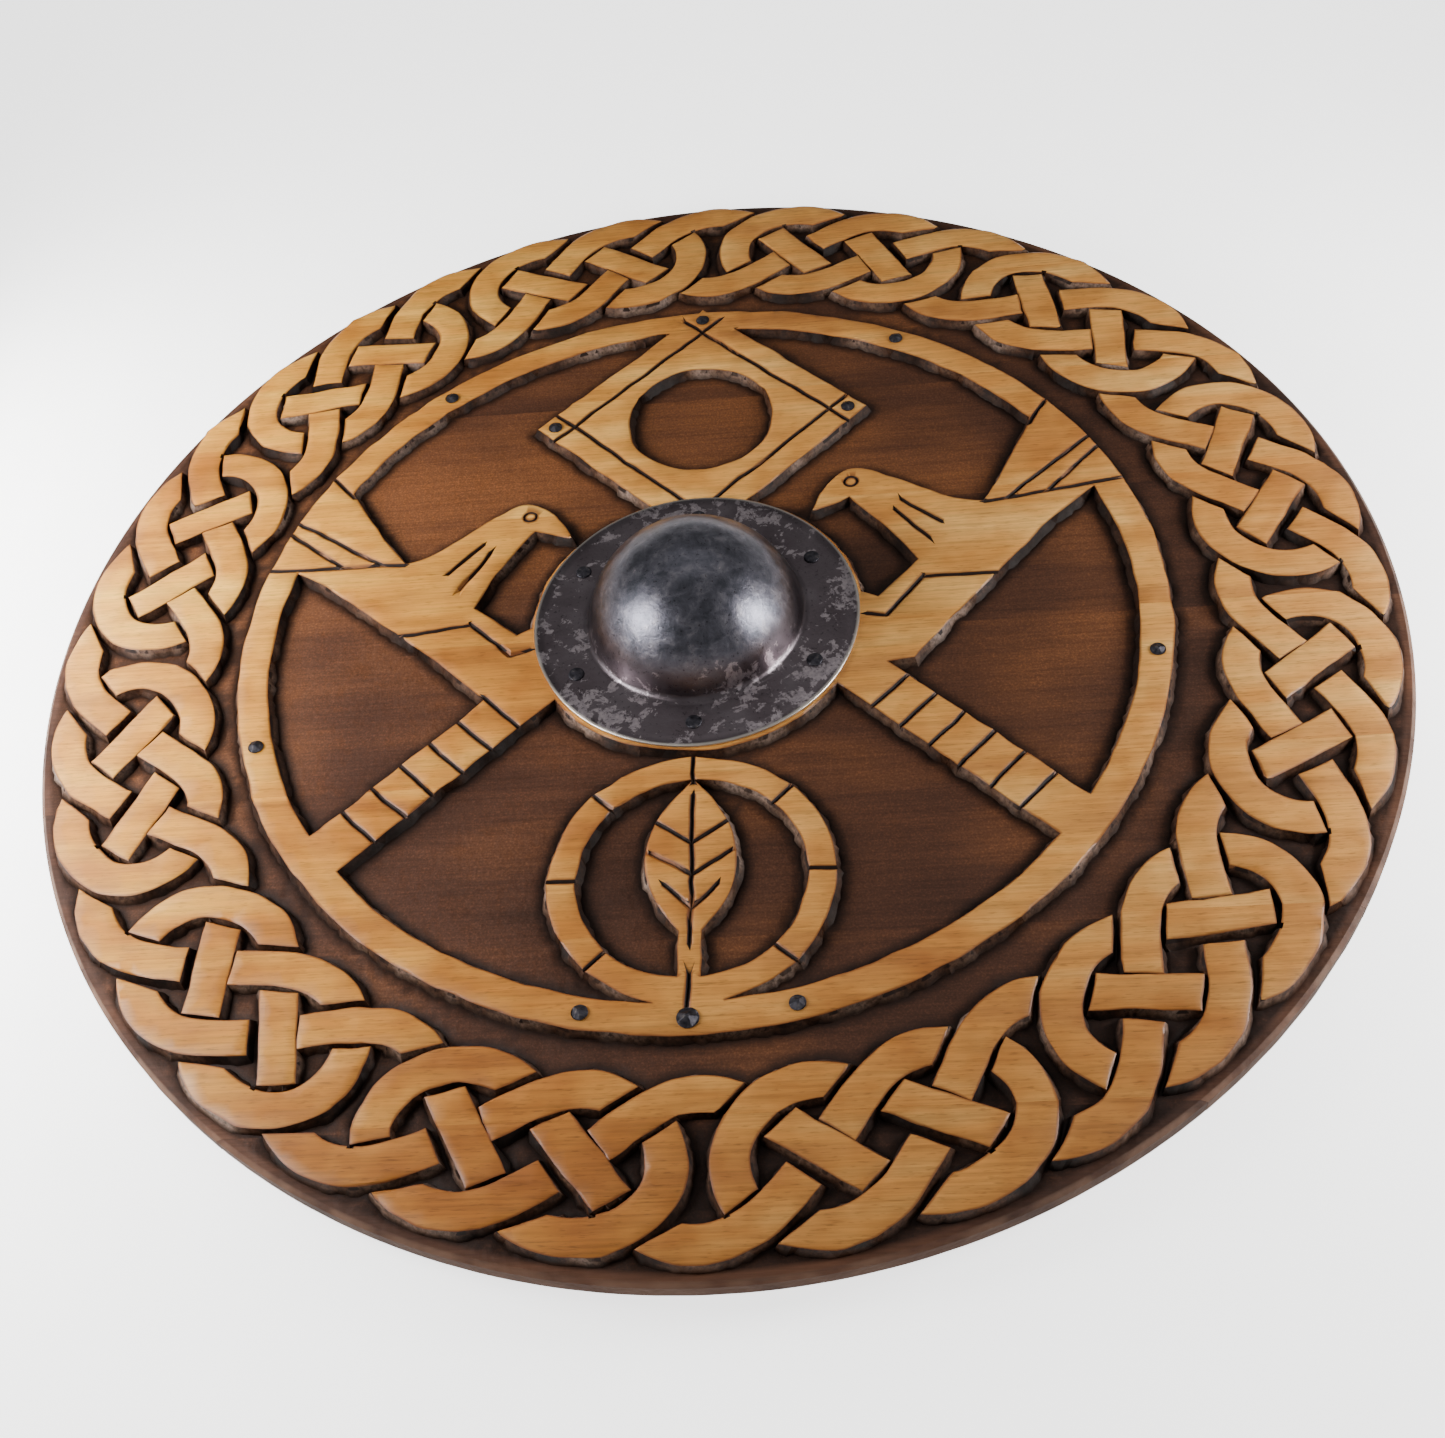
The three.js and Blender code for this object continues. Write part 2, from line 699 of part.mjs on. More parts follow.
// Battens: laths across all the planks, with ends that slope up to the board.
function countersink(place) {
  return turned([
    [0, -overrun],
    [screwHeadRadius + seatGap, -overrun],
    [screwHeadRadius + seatGap, screwRecess],
    [screwShankRadius + seatGap, screwRecess + screwHeadDepth],
    [screwShankRadius + seatGap, battenThickness + overrun],
    [0, battenThickness + overrun],
  ], screwSides, place.x, place.y);
}

function batten(x) {
  const ends = battenReach - battenEndSlope;
  const side = new THREE.Shape([
    new THREE.Vector2(-ends, 0),
    new THREE.Vector2(ends, 0),
    new THREE.Vector2(battenReach, battenThickness - battenEndThickness),
    new THREE.Vector2(battenReach, battenThickness),
    new THREE.Vector2(-battenReach, battenThickness),
    new THREE.Vector2(-battenReach, battenThickness - battenEndThickness),
  ]);
  const geometry = new THREE.ExtrudeGeometry(side, { depth: battenWidth, bevelEnabled: false });
  geometry.rotateX(Math.PI / 2).rotateZ(Math.PI / 2).translate(x - battenWidth / 2, 0, 0);
  const onThisSide = (p) => Math.sign(p.x) === Math.sign(x);
  const screws = screwPlaces.filter(onThisSide).map(countersink);
  const nailsInBatten = faceNails.filter(({ place }) => onThisSide(place) && onBatten(place));
  const nails = nailsInBatten.map(({ place, bottom }) => {
    return bore(nailShankRadius + seatGap, place.x, place.y, bottom - seatGap, battenThickness + overrun);
  });
  return without(solid(geometry), [...screws, ...nails]);
}
addPart('batten_left', batten(-battenX), backWood);
addPart('batten_right', batten(battenX), backWood);

screwPlaces.forEach((place, i) => {
  const screw = turned([
    [0, screwRecess],
    [screwHeadRadius, screwRecess],
    [screwShankRadius, screwRecess + screwHeadDepth],
    [screwShankRadius, boardBack + screwBite - screwShankRadius],
    [0, boardBack + screwBite],
  ], screwSides, place.x, place.y);
  addPart(`batten_screw_${i + 1}`, screw, zincSteel);
});

// Grip: a long tapered lath across the planks, thickened to a handle where it spans the hand hole.
function grip() {
  const reach = ringMiddle + lathEnd;
  const top = boardBack - seatGap;
  const crest = top + handleRise;
  const handleEnd = handHoleRadius - seatGap - handleShoulder;
  const side = new THREE.Shape([
    new THREE.Vector2(-reach, lathBack),
    new THREE.Vector2(reach, lathBack),
    new THREE.Vector2(reach, top),
    new THREE.Vector2(handleEnd, top),
    new THREE.Vector2(handleEnd - handleShoulder, crest),
    new THREE.Vector2(handleShoulder - handleEnd, crest),
    new THREE.Vector2(-handleEnd, top),
    new THREE.Vector2(-reach, top),
  ]);
  const sideGeometry = new THREE.ExtrudeGeometry(side, { depth: lathRootWidth, bevelEnabled: false });
  sideGeometry.rotateX(Math.PI / 2).rotateZ(Math.PI / 2).translate(-lathRootWidth / 2, 0, 0);

  const halves = [
    [lathTipWidth / 2, reach],
    [lathRootWidth / 2, flangeRadius],
    [handleWidth / 2, handleEnd],
  ];
  const right = [...halves.map(([x, y]) => [x, -y]), ...halves.map(([x, y]) => [x, y]).reverse()];
  const plan = outlineOf([...right, ...right.map(([x, y]) => [-x, y]).reverse()]);
  const planGeometry = new THREE.ExtrudeGeometry(new THREE.Shape(plan), {
    depth: crest - lathBack - 2 * handleFillet,
    bevelThickness: handleFillet,
    bevelSize: handleFillet,
    bevelOffset: -handleFillet,
    bevelSegments: 2,
  });
  planGeometry.translate(0, 0, lathBack + handleFillet);
  const rivets = rivetPlaces.filter(onLath).map((p) => {
    return bore(rivetShankRadius + seatGap, p.x, p.y, lathBack - overrun, crest);
  });
  const nails = faceNails.filter(({ place }) => onLath(place)).map(({ place, bottom }) => {
    return bore(nailShankRadius + seatGap, place.x, place.y, bottom - seatGap, crest);
  });
  return without(solid(sideGeometry).intersect(solid(planGeometry)), [...rivets, ...nails]);
}
addPart('grip', grip(), oiledWood);

// The origin is under the middle of the rim.
parts.position.set(-rimShiftX, -rimShiftY, 0);

export default parts;
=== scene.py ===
# %% [markdown]
# # A carved round shield
# The real shield is a disc of glued lime planks. Its face was cut back by hand, so that a plaited border, a
# ring, a lozenge, two ravens and a ticked medallion stand 6 mm proud of a dark stained ground. A raised steel
# boss covers the hand hole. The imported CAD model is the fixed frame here: it says where each piece is, in
# metres, and this lesson gives the pieces their worn edges, tool marks, wood, steel and iron.

# %% Load the frame
import math
import random

import bmesh
import bpy
import numpy as np
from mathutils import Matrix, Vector, kdtree, noise
from mathutils.bvhtree import BVHTree
from mathutils.geometry import delaunay_2d_cdt


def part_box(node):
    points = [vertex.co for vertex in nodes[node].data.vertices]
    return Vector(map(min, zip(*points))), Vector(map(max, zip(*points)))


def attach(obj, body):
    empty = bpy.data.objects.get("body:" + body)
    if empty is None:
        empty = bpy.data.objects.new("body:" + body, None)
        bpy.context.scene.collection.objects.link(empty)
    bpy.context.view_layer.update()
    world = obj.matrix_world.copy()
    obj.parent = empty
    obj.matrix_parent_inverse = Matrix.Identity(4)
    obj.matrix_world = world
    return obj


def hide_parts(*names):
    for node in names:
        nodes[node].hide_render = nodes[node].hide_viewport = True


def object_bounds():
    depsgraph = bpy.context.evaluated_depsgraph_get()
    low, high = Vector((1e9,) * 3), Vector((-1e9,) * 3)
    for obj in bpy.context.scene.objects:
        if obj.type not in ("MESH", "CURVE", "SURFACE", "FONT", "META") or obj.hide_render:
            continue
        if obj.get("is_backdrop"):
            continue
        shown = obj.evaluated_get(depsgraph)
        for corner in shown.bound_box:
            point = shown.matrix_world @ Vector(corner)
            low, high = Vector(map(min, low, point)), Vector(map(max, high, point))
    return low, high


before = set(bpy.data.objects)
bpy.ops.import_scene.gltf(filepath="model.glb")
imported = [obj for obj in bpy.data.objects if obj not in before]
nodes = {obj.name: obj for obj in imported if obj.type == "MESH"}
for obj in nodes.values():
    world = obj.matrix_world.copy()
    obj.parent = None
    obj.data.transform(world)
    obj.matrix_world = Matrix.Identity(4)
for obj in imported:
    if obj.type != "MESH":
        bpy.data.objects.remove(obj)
cad_low, cad_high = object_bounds()
print("nodes:", len(nodes), "box:", [round(v, 4) for v in (*cad_low, *cad_high)])

# %% [markdown]
# Every length below is written in millimetres, as a maker would say it, and `MM` turns it into metres. The
# heights are those of the real stack, from the floor up: battens, board, carved relief, steel sheet. The boss
# and the ring are centred a little to one side of the rim, because the border was laid out from the sawn
# edge.

# %% Heights and places in the stack
MM = 0.001
BOARD_BACK = 14.3
GROUND = 26.3
RELIEF_TOP = 32.3
FLANGE_BOTTOM = 32.6
SHEET = 1.8
BOSS_X, BOSS_Y = -6.5, 2.9
PLANK_PITCH = 108.0
FIRST_JOINT = -333.1
RIM_RADIUS = 420.0


def box_mm(name):
    return [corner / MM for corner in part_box(name)]


print("carved depth:", RELIEF_TOP - GROUND, "mm")

# %% [markdown]
# Colours are noted the way a paint chart gives them, as sRGB hex. Blender mixes light in linear values, so
# one function turns the hex into those. Pattern sizes are real ones too: a noise whose blotches are 20 mm
# across needs a scale of 1000 / 20, because the coordinates are in metres. A pixel of the finished picture is
# about 0.9 mm here, so what is finer on the real thing is drawn as coarse as it needs to show.


# %% Colours and pattern sizes
def linear(hex_colour):
    channels = [int(hex_colour[i:i + 2], 16) / 255 for i in (1, 3, 5)]
    curved = [c / 12.92 if c <= 0.04045 else ((c + 0.055) / 1.055) ** 2.4 for c in channels]
    return (*curved, 1.0)


def size(mm):
    return 1000 / mm


print("lime wood in linear light:", [round(c, 3) for c in linear("#d9b27c")])

# %% [markdown]
# A material is a small network of nodes, and writing one by hand takes many lines. `add` does what every node
# needs: it makes the node, sets its properties and gives a colour ramp its stops. `fill` sees to the sockets,
# those of the finished shader too. They are given by name, or in a list where they go by number. An input
# that is a node or a socket is linked, a hex colour goes through `linear`, and anything else is written into
# the socket as it is. A map range's list says what is read, where the reading starts and ends, and what it
# gives there, and a socket that is left out keeps its default. Two colours meet in two ways: `OVER` lays one
# over the other by a factor, as paint does, and `TIMES` multiplies them, as a glaze does.


# %% One helper adds a node
def fill(tree, node, inputs):
    for name, value in inputs.items() if isinstance(inputs, dict) else enumerate(inputs):
        named = [s for s in node.inputs if s.enabled and s.name == name]
        socket = node.inputs[name] if isinstance(name, int) else named[0]
        if isinstance(value, bpy.types.Node):
            value = next(s for s in value.outputs if s.enabled)
        if isinstance(value, bpy.types.NodeSocket):
            tree.links.new(value, socket)
        else:
            socket.default_value = linear(value) if isinstance(value, str) else value


def add(tree, kind, inputs=None, stops=None, **settings):
    made = tree.nodes.new("ShaderNode" + kind)
    for name, value in settings.items():
        setattr(made, name, value)
    for i, (place, colour) in enumerate(stops or []):
        elements = made.color_ramp.elements
        element = elements[i] if i < len(elements) else elements.new(place)
        element.position = place
        if isinstance(colour, str):
            colour = linear(colour)
        element.color = colour if isinstance(colour, tuple) else (colour, colour, colour, 1)
    fill(tree, made, inputs or {})
    return made


def new_material(name):
    material = bpy.data.materials.new(name)
    material.use_nodes = True
    tree = material.node_tree
    place = add(tree, "TexCoord").outputs["Object"]
    return material, tree, tree.nodes["Principled BSDF"], place


OVER = {"data_type": "RGBA"}
TIMES = {"data_type": "RGBA", "blend_type": "MULTIPLY"}
WHITE = (1, 1, 1, 1)
print("node helper ready")

# %% [markdown]
# The board is lime wood, a pale and even wood that carvers like. The raised parts were sanded and oiled,
# which gives them a honey colour with a soft silky figure. The ground and the cut walls were brushed with a
# dark walnut stain. There could be a material for each of these, with every face told which one it wears, but
# the stain creeps over the edges. So one material serves the whole board: the height says what is raised and
# what is ground, the true slope of the face finds the walls, and the number `edge_mm`, which the carving
# cells below give to every point, finds the edges. Each plank shifts the pattern, because each was sawn from
# another log. The fibres and ray flecks of real lime are a few tenths of a millimetre wide, too fine to show,
# and are drawn at 1.8 and 0.9 mm.

# %% Lime wood: the patterns of the board
lime, tree, shader, place = new_material("stained_lime_wood")
x, y, z = add(tree, "SeparateXYZ", [place]).outputs
true_normal = add(tree, "NewGeometry").outputs["True Normal"]
facing = add(tree, "SeparateXYZ", [true_normal]).outputs["Z"]
edge_mm = add(tree, "Attribute", attribute_name="edge_mm").outputs["Fac"]
from_joint = add(tree, "Math", [y, FIRST_JOINT * MM], operation="SUBTRACT")
in_planks = add(tree, "Math", [from_joint, PLANK_PITCH * MM], operation="DIVIDE")
plank = add(tree, "Math", [in_planks], operation="FLOOR")
jump = add(tree, "VectorMath", {"Vector": (0.731, 0.0, 0.417), "Scale": plank}, operation="SCALE")
sawn = add(tree, "VectorMath", [place, jump], operation="ADD")
along = add(tree, "Mapping", {"Vector": sawn, "Scale": (0.16, 1, 1)})
fibres = add(tree, "Mapping", {"Vector": sawn, "Scale": (0.03, 1, 1)})
figure = add(tree, "TexNoise", {"Vector": along, "Scale": size(34), "Detail": 3, "Distortion": 0.6})
streak = add(tree, "TexNoise", {"Vector": fibres, "Scale": size(1.8), "Detail": 4, "Roughness": 0.65})
silk = add(tree, "TexNoise", {"Vector": sawn, "Scale": size(26)})
short = add(tree, "Mapping", {"Vector": sawn, "Scale": (0.12, 1, 1)})
flecks = add(tree, "TexNoise", {"Vector": short, "Scale": size(0.9)})
patches = add(tree, "TexNoise", {"Vector": place, "Scale": size(150)})
print("board patterns:", len(tree.nodes), "nodes")

# %% [markdown]
# Oil brings out the figure: slow clouds of deeper honey, long faint streaks, and the short dark flecks of the
# rays. Where the knife ran along an edge, the stain crept a millimetre into the end of the fibres, and it
# left a thin brown outline round every raised part. Hands and oil toned the board in slow patches. Two slow
# tints are painted light and shade: the wood is made more amber towards the left, as the strong light there
# makes it look, and greyer and darker low down, as painted shade where less light falls.

# %% The oiled relief
honey = add(tree, "ValToRGB", {"Fac": figure}, stops=[(0.28, "#b3793c"), (0.5, "#d29447"), (0.74, "#e5b264")])
grain = add(tree, "ValToRGB", {"Fac": streak}, stops=[(0.3, 0.67), (0.6, 1.0)])
sheen = add(tree, "ValToRGB", {"Fac": silk}, stops=[(0.34, (0.82, 0.75, 0.66, 1)), (0.6, WHITE)])
rays = add(tree, "ValToRGB", {"Fac": flecks}, stops=[(0.3, 0.68), (0.42, 1.0)])
toasted = add(tree, "ValToRGB", {"Fac": patches}, stops=[(0.38, (0.82, 0.73, 0.65, 1)), (0.56, WHITE)])
oiled = honey
for tone in (grain, sheen, rays, toasted):
    oiled = add(tree, "Mix", {"Factor": 1.0, "A": oiled, "B": tone}, **TIMES)
# Painted shade and light: darker and greyer towards the bottom, yellower towards the brightly lit left.
painted_shade_low = add(tree, "MapRange", [y, -60 * MM, -340 * MM, 0, 0.75])
painted_amber_left = add(tree, "MapRange", [x, 40 * MM, -340 * MM, 0, 0.85])
for amount, tint in ((painted_shade_low, "#d2c6bd"), (painted_amber_left, "#fff8a8")):
    oiled = add(tree, "Mix", {"Factor": amount, "A": oiled, "B": tint}, **TIMES)
creep = add(tree, "MapRange", [silk, 0.3, 0.7, 0.5, 1.7])
bled = add(tree, "Math", [edge_mm, creep], operation="DIVIDE")
outline = add(tree, "MapRange", [bled, 1.0, 0.25, 0, 0.8])
oiled = add(tree, "Mix", {"Factor": outline, "A": oiled, "B": "#6b3615"}, **OVER)
print("oiled relief done")

# %% [markdown]
# The stain went on unevenly. On the flat ground it shows the grain and a warm red-brown where it was wiped
# thin. It is made lighter towards the left, as painted light from the near lamp, and a little lighter towards
# the top. Close to the walls it goes almost black: partly stain that the rag did not reach, partly painted
# shade where the walls shade the ground. On the walls themselves the gouge left facets of end grain. These
# drink more stain or less, so dark ones stand next to greyish ones. The layers go over each other: stain, the
# dark bands at the walls, the cut facets, painted shade at the foot of each wall, the knife lines, darkened
# by stain and painted shade, and the oiled wood on top.

# %% The stained ground and walls
wiped = add(tree, "TexNoise", {"Vector": along, "Scale": size(60), "Detail": 5, "Roughness": 0.6})
thinness = add(tree, "Math", [patches, wiped], operation="ADD")
thinness = add(tree, "Math", [thinness, 0.5], operation="MULTIPLY")
# Painted light: the stain is made thinner, so lighter, towards the left where the near lamp falls. upward
# makes it a little lighter towards the top.
painted_lighter_left = add(tree, "MapRange", [x, 280 * MM, -300 * MM, -0.055, 0.11])
upward = add(tree, "MapRange", [y, -160 * MM, 280 * MM, -0.02, 0.07])
for gradient in (painted_lighter_left, upward):
    thinness = add(tree, "Math", [thinness, gradient], operation="ADD")
stain = add(tree, "ValToRGB", {"Fac": thinness}, stops=[
    (0.36, "#331e14"), (0.5, "#4a2c1c"), (0.66, "#6f4325")])
fuzz = add(tree, "TexNoise", {"Vector": place, "Scale": size(1.3), "Roughness": 0.7})
fuzzy = add(tree, "ValToRGB", {"Fac": fuzz}, stops=[(0.34, 0.72), (0.56, 1.0), (0.7, (1.5, 1.45, 1.4, 1))])
carved = stain
for tone in (grain, fuzzy):
    carved = add(tree, "Mix", {"Factor": 1.0, "A": carved, "B": tone}, **TIMES)
# Painted shade and stain: the ground darkens almost to black within a few millimetres of each crease.
pooled_stain_and_shade = add(tree, "MapRange", [edge_mm, 1.0, 7.0, 0.85, 0.0])
chips = add(tree, "TexNoise", {"Vector": place, "Scale": size(46), "Detail": 3, "Distortion": 0.3})
facets = add(tree, "ValToRGB", {"Fac": chips}, stops=[
    (0.38, "#1d120d"), (0.5, "#40291c"), (0.58, "#594234"), (0.7, "#7d685b")])
scored = add(tree, "TexNoise", {"Vector": place, "Scale": size(2.4), "Detail": 4, "Roughness": 0.65})
scoring = add(tree, "ValToRGB", {"Fac": scored}, stops=[
    (0.36, 0.45), (0.54, 1.0), (0.7, (1.35, 1.34, 1.37, 1))])
facets = add(tree, "Mix", {"Factor": 1.0, "A": facets, "B": scoring}, **TIMES)
slope = add(tree, "MapRange", [facing, 0.86, 0.72])
# Painted shade at the foot of each wall, where stain also gathers: the lowest 3 mm of the walls go
# near-black.
low_wall = add(tree, "MapRange", [z, GROUND * MM, (GROUND + 3) * MM, 0.75, 0.0])
foot_stain_and_shade = add(tree, "Math", [slope, low_wall], operation="MULTIPLY")
height = add(tree, "MapRange", [z, (RELIEF_TOP - 2.2) * MM, (RELIEF_TOP - 1.6) * MM])
steep = add(tree, "MapRange", [facing, 0.76, 0.7, 1.0, 0.0])
raised = add(tree, "Math", [height, steep], operation="MULTIPLY")
# The knife lines go near-black, partly stain and partly painted shade in the narrow cut.
high_up = add(tree, "MapRange", [z, (RELIEF_TOP - 3.2) * MM, (RELIEF_TOP - 2.6) * MM])
knife = add(tree, "MapRange", [facing, 0.44, 0.5])
knife_line_stain_and_shade = add(tree, "Math", [high_up, knife], operation="MULTIPLY")
for amount, tone in ((pooled_stain_and_shade, "#190d08"), (slope, facets), (foot_stain_and_shade, "#1a0e08"), (knife_line_stain_and_shade, "#1c0e07"),
                     (raised, oiled)):
    carved = add(tree, "Mix", {"Factor": amount, "A": carved, "B": tone}, **OVER)
print("stained ground done")

# %% [markdown]
# The margin outside the border, the sawn edge and the back are plainer: a thin reddish brown stain over wood
# that shows its grain, rubbed paler along the rim where hands and floors touch it. The steep sawn side is
# painted darker as painted shade, against the light that the glowing floor throws on it. The distance from
# the rim's middle and the height tell these places apart from the carved face.

# %% The margin, edge and back
level = add(tree, "VectorMath", [place, (1, 1, 0)], operation="MULTIPLY")
radius = add(tree, "VectorMath", [level], operation="LENGTH").outputs["Value"]
rubbed = add(tree, "ValToRGB", {"Fac": wiped}, stops=[(0.3, "#32211a"), (0.5, "#4a2e20"), (0.72, "#6b4631")])
rubbed = add(tree, "Mix", {"Factor": 1.0, "A": rubbed, "B": grain}, **TIMES)
at_rim = add(tree, "MapRange", [radius, (RIM_RADIUS - 3.2) * MM, (RIM_RADIUS - 1.5) * MM])
touched = add(tree, "MapRange", [silk, 0.4, 0.6, 0, 0.5])
handled = add(tree, "Math", [at_rim, touched], operation="MULTIPLY")
# Painted shade: the steep sawn side gets a dark brown laid over it, and it is kept dull.
sawn_side_shade = add(tree, "MapRange", [facing, 0.4, 0.2, 0, 0.65])
for amount, tone in ((handled, "#7a5c49"), (sawn_side_shade, "#2a1b13")):
    rubbed = add(tree, "Mix", {"Factor": amount, "A": rubbed, "B": tone}, **OVER)
margin = add(tree, "MapRange", [radius, (RIM_RADIUS - 8) * MM, (RIM_RADIUS - 5) * MM])
below = add(tree, "MapRange", [z, (BOARD_BACK + 1) * MM, BOARD_BACK * MM])
plain = add(tree, "Math", [margin, below], operation="MAXIMUM")
wood = add(tree, "Mix", {"Factor": plain, "A": carved, "B": rubbed}, **OVER)
tooth = add(tree, "Math", [streak, flecks], operation="ADD")
relief = add(tree, "Bump", {"Height": tooth, "Strength": 0.12, "Distance": 0.6 * MM})
gouged = add(tree, "TexNoise", {"Vector": place, "Scale": size(4.5), "Detail": 3})
not_raised = add(tree, "Math", [1.0, raised], operation="SUBTRACT")
marks = add(tree, "Math", [gouged, not_raised], operation="MULTIPLY")
relief = add(tree, "Bump", {"Height": marks, "Normal": relief, "Strength": 0.5, "Distance": MM})
gloss = add(tree, "MapRange", [raised, 0, 1, 0.62, 0.44])
oil = add(tree, "MapRange", [raised, 0, 1, 0.3, 0.5])
dry = add(tree, "MapRange", [sawn_side_shade, 0, 0.65, 1.0, 0.15])
shine = add(tree, "Math", [oil, dry], operation="MULTIPLY")
fill(tree, shader, {
    "Base Color": wood, "Specular IOR Level": shine, "Roughness": gloss, "Normal": relief, "IOR": 1.45})
print("stained lime wood:", len(tree.nodes), "nodes")

# %% [markdown]
# The CAD planks have the right places and depths, but their edges are as straight as a drawing. A hand-cut
# board has outlines that waver, corners that are rubbed round, a small stop cut along the foot of each wall
# and a ground that rises and falls with the gouge. So each plank is built again here from its own creases:
# they are split into short steps, smoothed, and joined by a new net of triangles whose points can then be
# moved. Another way is to remesh the plank into tiny cubes, but that would need ten times the faces to keep a
# knife line sharp.

# %% What the new net leaves out
STEP, NET = 4.0, 6.0
HAND_HOLE = 58.0
EYES = ((93.7, 111.91), (-118.56, 99.67))
EYE_RADIUS, EYE_CLEAR = 4.0, 6.5
EYE_CUT_DEPTH, EYE_CUT_HALF = 1.2, 0.9
HOLE_CLEAR = 3.4
heads = [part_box(n) for n in nodes if n.startswith(("boss_rivet", "lozenge_nail", "ring_nail"))]
hidden_holes = [(low + high).to_2d() / 2 / MM for low, high in heads]
print("holes under rivet and nail heads:", len(hidden_holes))

# %% [markdown]
# `STEP` is the longest step along a crease and `NET` the distance between the points of the net elsewhere. A
# crease is an edge of the upper side where two faces meet at an angle, or where the upper side ends. Each one
# is named by what it is: `top` for the outline of a raised part, `foot` for the bottom of a wall, `end` for
# the plank's own border and `cut` for the rest, such as the bottom of a knife line. The sign says on which
# side of the crease the flat wood lies. The eyes are left out, because they get rings of their own below.

# %% Find the creases of a plank
ABOVE_BACK, WALL_RISE = 20.0, 4.0
FLAT, LEANING = 0.99, 0.1
FOLD = math.radians(3)


def far_from(point, places, distance):
    return all((point - Vector(p)).length > distance for p in places)


def eye_depth(x, y):
    away = min(abs(math.hypot(x - eye[0], y - eye[1]) - EYE_RADIUS) for eye in EYES)
    return EYE_CUT_DEPTH * max(0.0, 1 - away / EYE_CUT_HALF)


def creases(node):
    ends = [corner.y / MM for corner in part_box(node.name)]
    mesh = bmesh.new()
    mesh.from_mesh(node.data)
    bmesh.ops.scale(mesh, vec=(1 / MM,) * 3, verts=mesh.verts)
    bmesh.ops.remove_doubles(mesh, verts=mesh.verts, dist=0.01)
    mesh.normal_update()
    upper = {f for f in mesh.faces if f.normal.z > LEANING and f.calc_center_median().z > ABOVE_BACK}
    found = []
    for edge in mesh.edges:
        sides = [f for f in edge.link_faces if f in upper]
        a, b = (v.co.copy() for v in edge.verts)
        middle = ((a + b) / 2).to_2d()
        border = len(sides) == 1
        steep = abs(a.z - b.z) > WALL_RISE and not border
        if not sides or steep or not far_from(middle, hidden_holes, HOLE_CLEAR):
            continue
        if not border and sides[0].normal.angle(sides[1].normal) < FOLD:
            continue
        on_joint = any(max(abs(a.y - y), abs(b.y - y)) < 0.05 for y in ends)
        if not on_joint and not far_from(middle, EYES, EYE_CLEAR):
            continue
        level = [f for f in sides if f.normal.z > FLAT]
        kind, sign = ("end" if border else "cut"), 0
        if len(sides) == 2 and len(level) == 1:
            flat = level[0].calc_center_median()
            kind = "top" if flat.z > RELIEF_TOP - 0.1 else "foot"
            line, inward = (b - a).to_2d(), (flat - a).to_2d()
            sign = 1 if line.x * inward.y - line.y * inward.x > 0 else -1
        found.append((a, b, kind, sign))
    mesh.free()
    return found


print("creases of plank_6:", len(creases(nodes["plank_6"])))

# %% [markdown]
# The CAD's curves are chains of straight lines, some long and some short. Each crease is split here into
# steps of one length, and then every point is drawn towards the middle of its two neighbours a few times,
# which rounds the chain as sandpaper would. Points where the line turns by more than `CORNER`, where lines
# meet, and those on the plank's own border stay, so corners stay sharp and joints straight.

# %% Split and smooth the creases
CORNER = math.radians(40)


def split_lines(found):
    points, index, lines = [], {}, []

    def number(point):
        key = (round(point.x, 2), round(point.y, 2))
        if key not in index:
            index[key] = len(points)
            points.append(list(point))
        return index[key]

    for a, b, kind, sign in found:
        pieces = max(1, math.ceil((b - a).to_2d().length / STEP))
        chain = [number(a)]
        for i in range(1, pieces):
            chain.append(len(points))
            points.append(list(a.lerp(b, i / pieces)))
        chain.append(number(b))
        lines += [(p, q, kind, sign) for p, q in zip(chain, chain[1:]) if p != q]
    return np.array(points), lines


def smoothed(points, lines, rounds=8):
    near = [[] for _ in points]
    fixed = np.zeros(len(points), bool)
    for p, q, kind, _ in lines:
        near[p].append(q)
        near[q].append(p)
        if kind == "end":
            fixed[[p, q]] = True
    pairs = np.array([n if len(n) == 2 else (i, i) for i, n in enumerate(near)])
    made = points.copy()
    to_last, to_next = made[pairs[:, 0], :2] - made[:, :2], made[pairs[:, 1], :2] - made[:, :2]
    crossed = to_last[:, 0] * to_next[:, 1] - to_last[:, 1] * to_next[:, 0]
    turn = np.abs(np.arctan2(crossed, -(to_last * to_next).sum(1)))
    fixed |= (pairs[:, 0] == pairs[:, 1]) | (turn > CORNER)
    for _ in range(rounds):
        middle = (made[pairs[:, 0], :2] + made[pairs[:, 1], :2]) / 2
        made[~fixed, :2] += 0.5 * (middle - made[:, :2])[~fixed]
    return made


points, lines = split_lines(creases(nodes["plank_6"]))
shift = np.abs(smoothed(points, lines) - points).max()
print("points:", len(points), "lines:", len(lines), "largest move:", round(float(shift), 2), "mm")

# %% [markdown]
# The net needs more points than the creases. A row just inside each outline lets its edge be rubbed down, a
# row just outside each foot leaves room for the stop cut, and a loose grid in between carries the gentle rise
# and fall. A ray shot down onto the CAD plank gives each grid point its height, and a point too close to a
# crease is left out.


# %% Rows beside the creases, and a grid between them
BETWEEN_LEVELS = 29.0
ROWS = (("top", 1.3, RELIEF_TOP), ("foot", 2.0, GROUND))
GRID_CLEAR, GRID_HOLE_CLEAR, GRID_SHAKE = 2.4, 3, 0.2
RING_STEPS = 16


def nearest(points):
    tree = kdtree.KDTree(len(points))
    for i, point in enumerate(points):
        tree.insert((point[0], point[1], 0), i)
    tree.balance()
    return tree


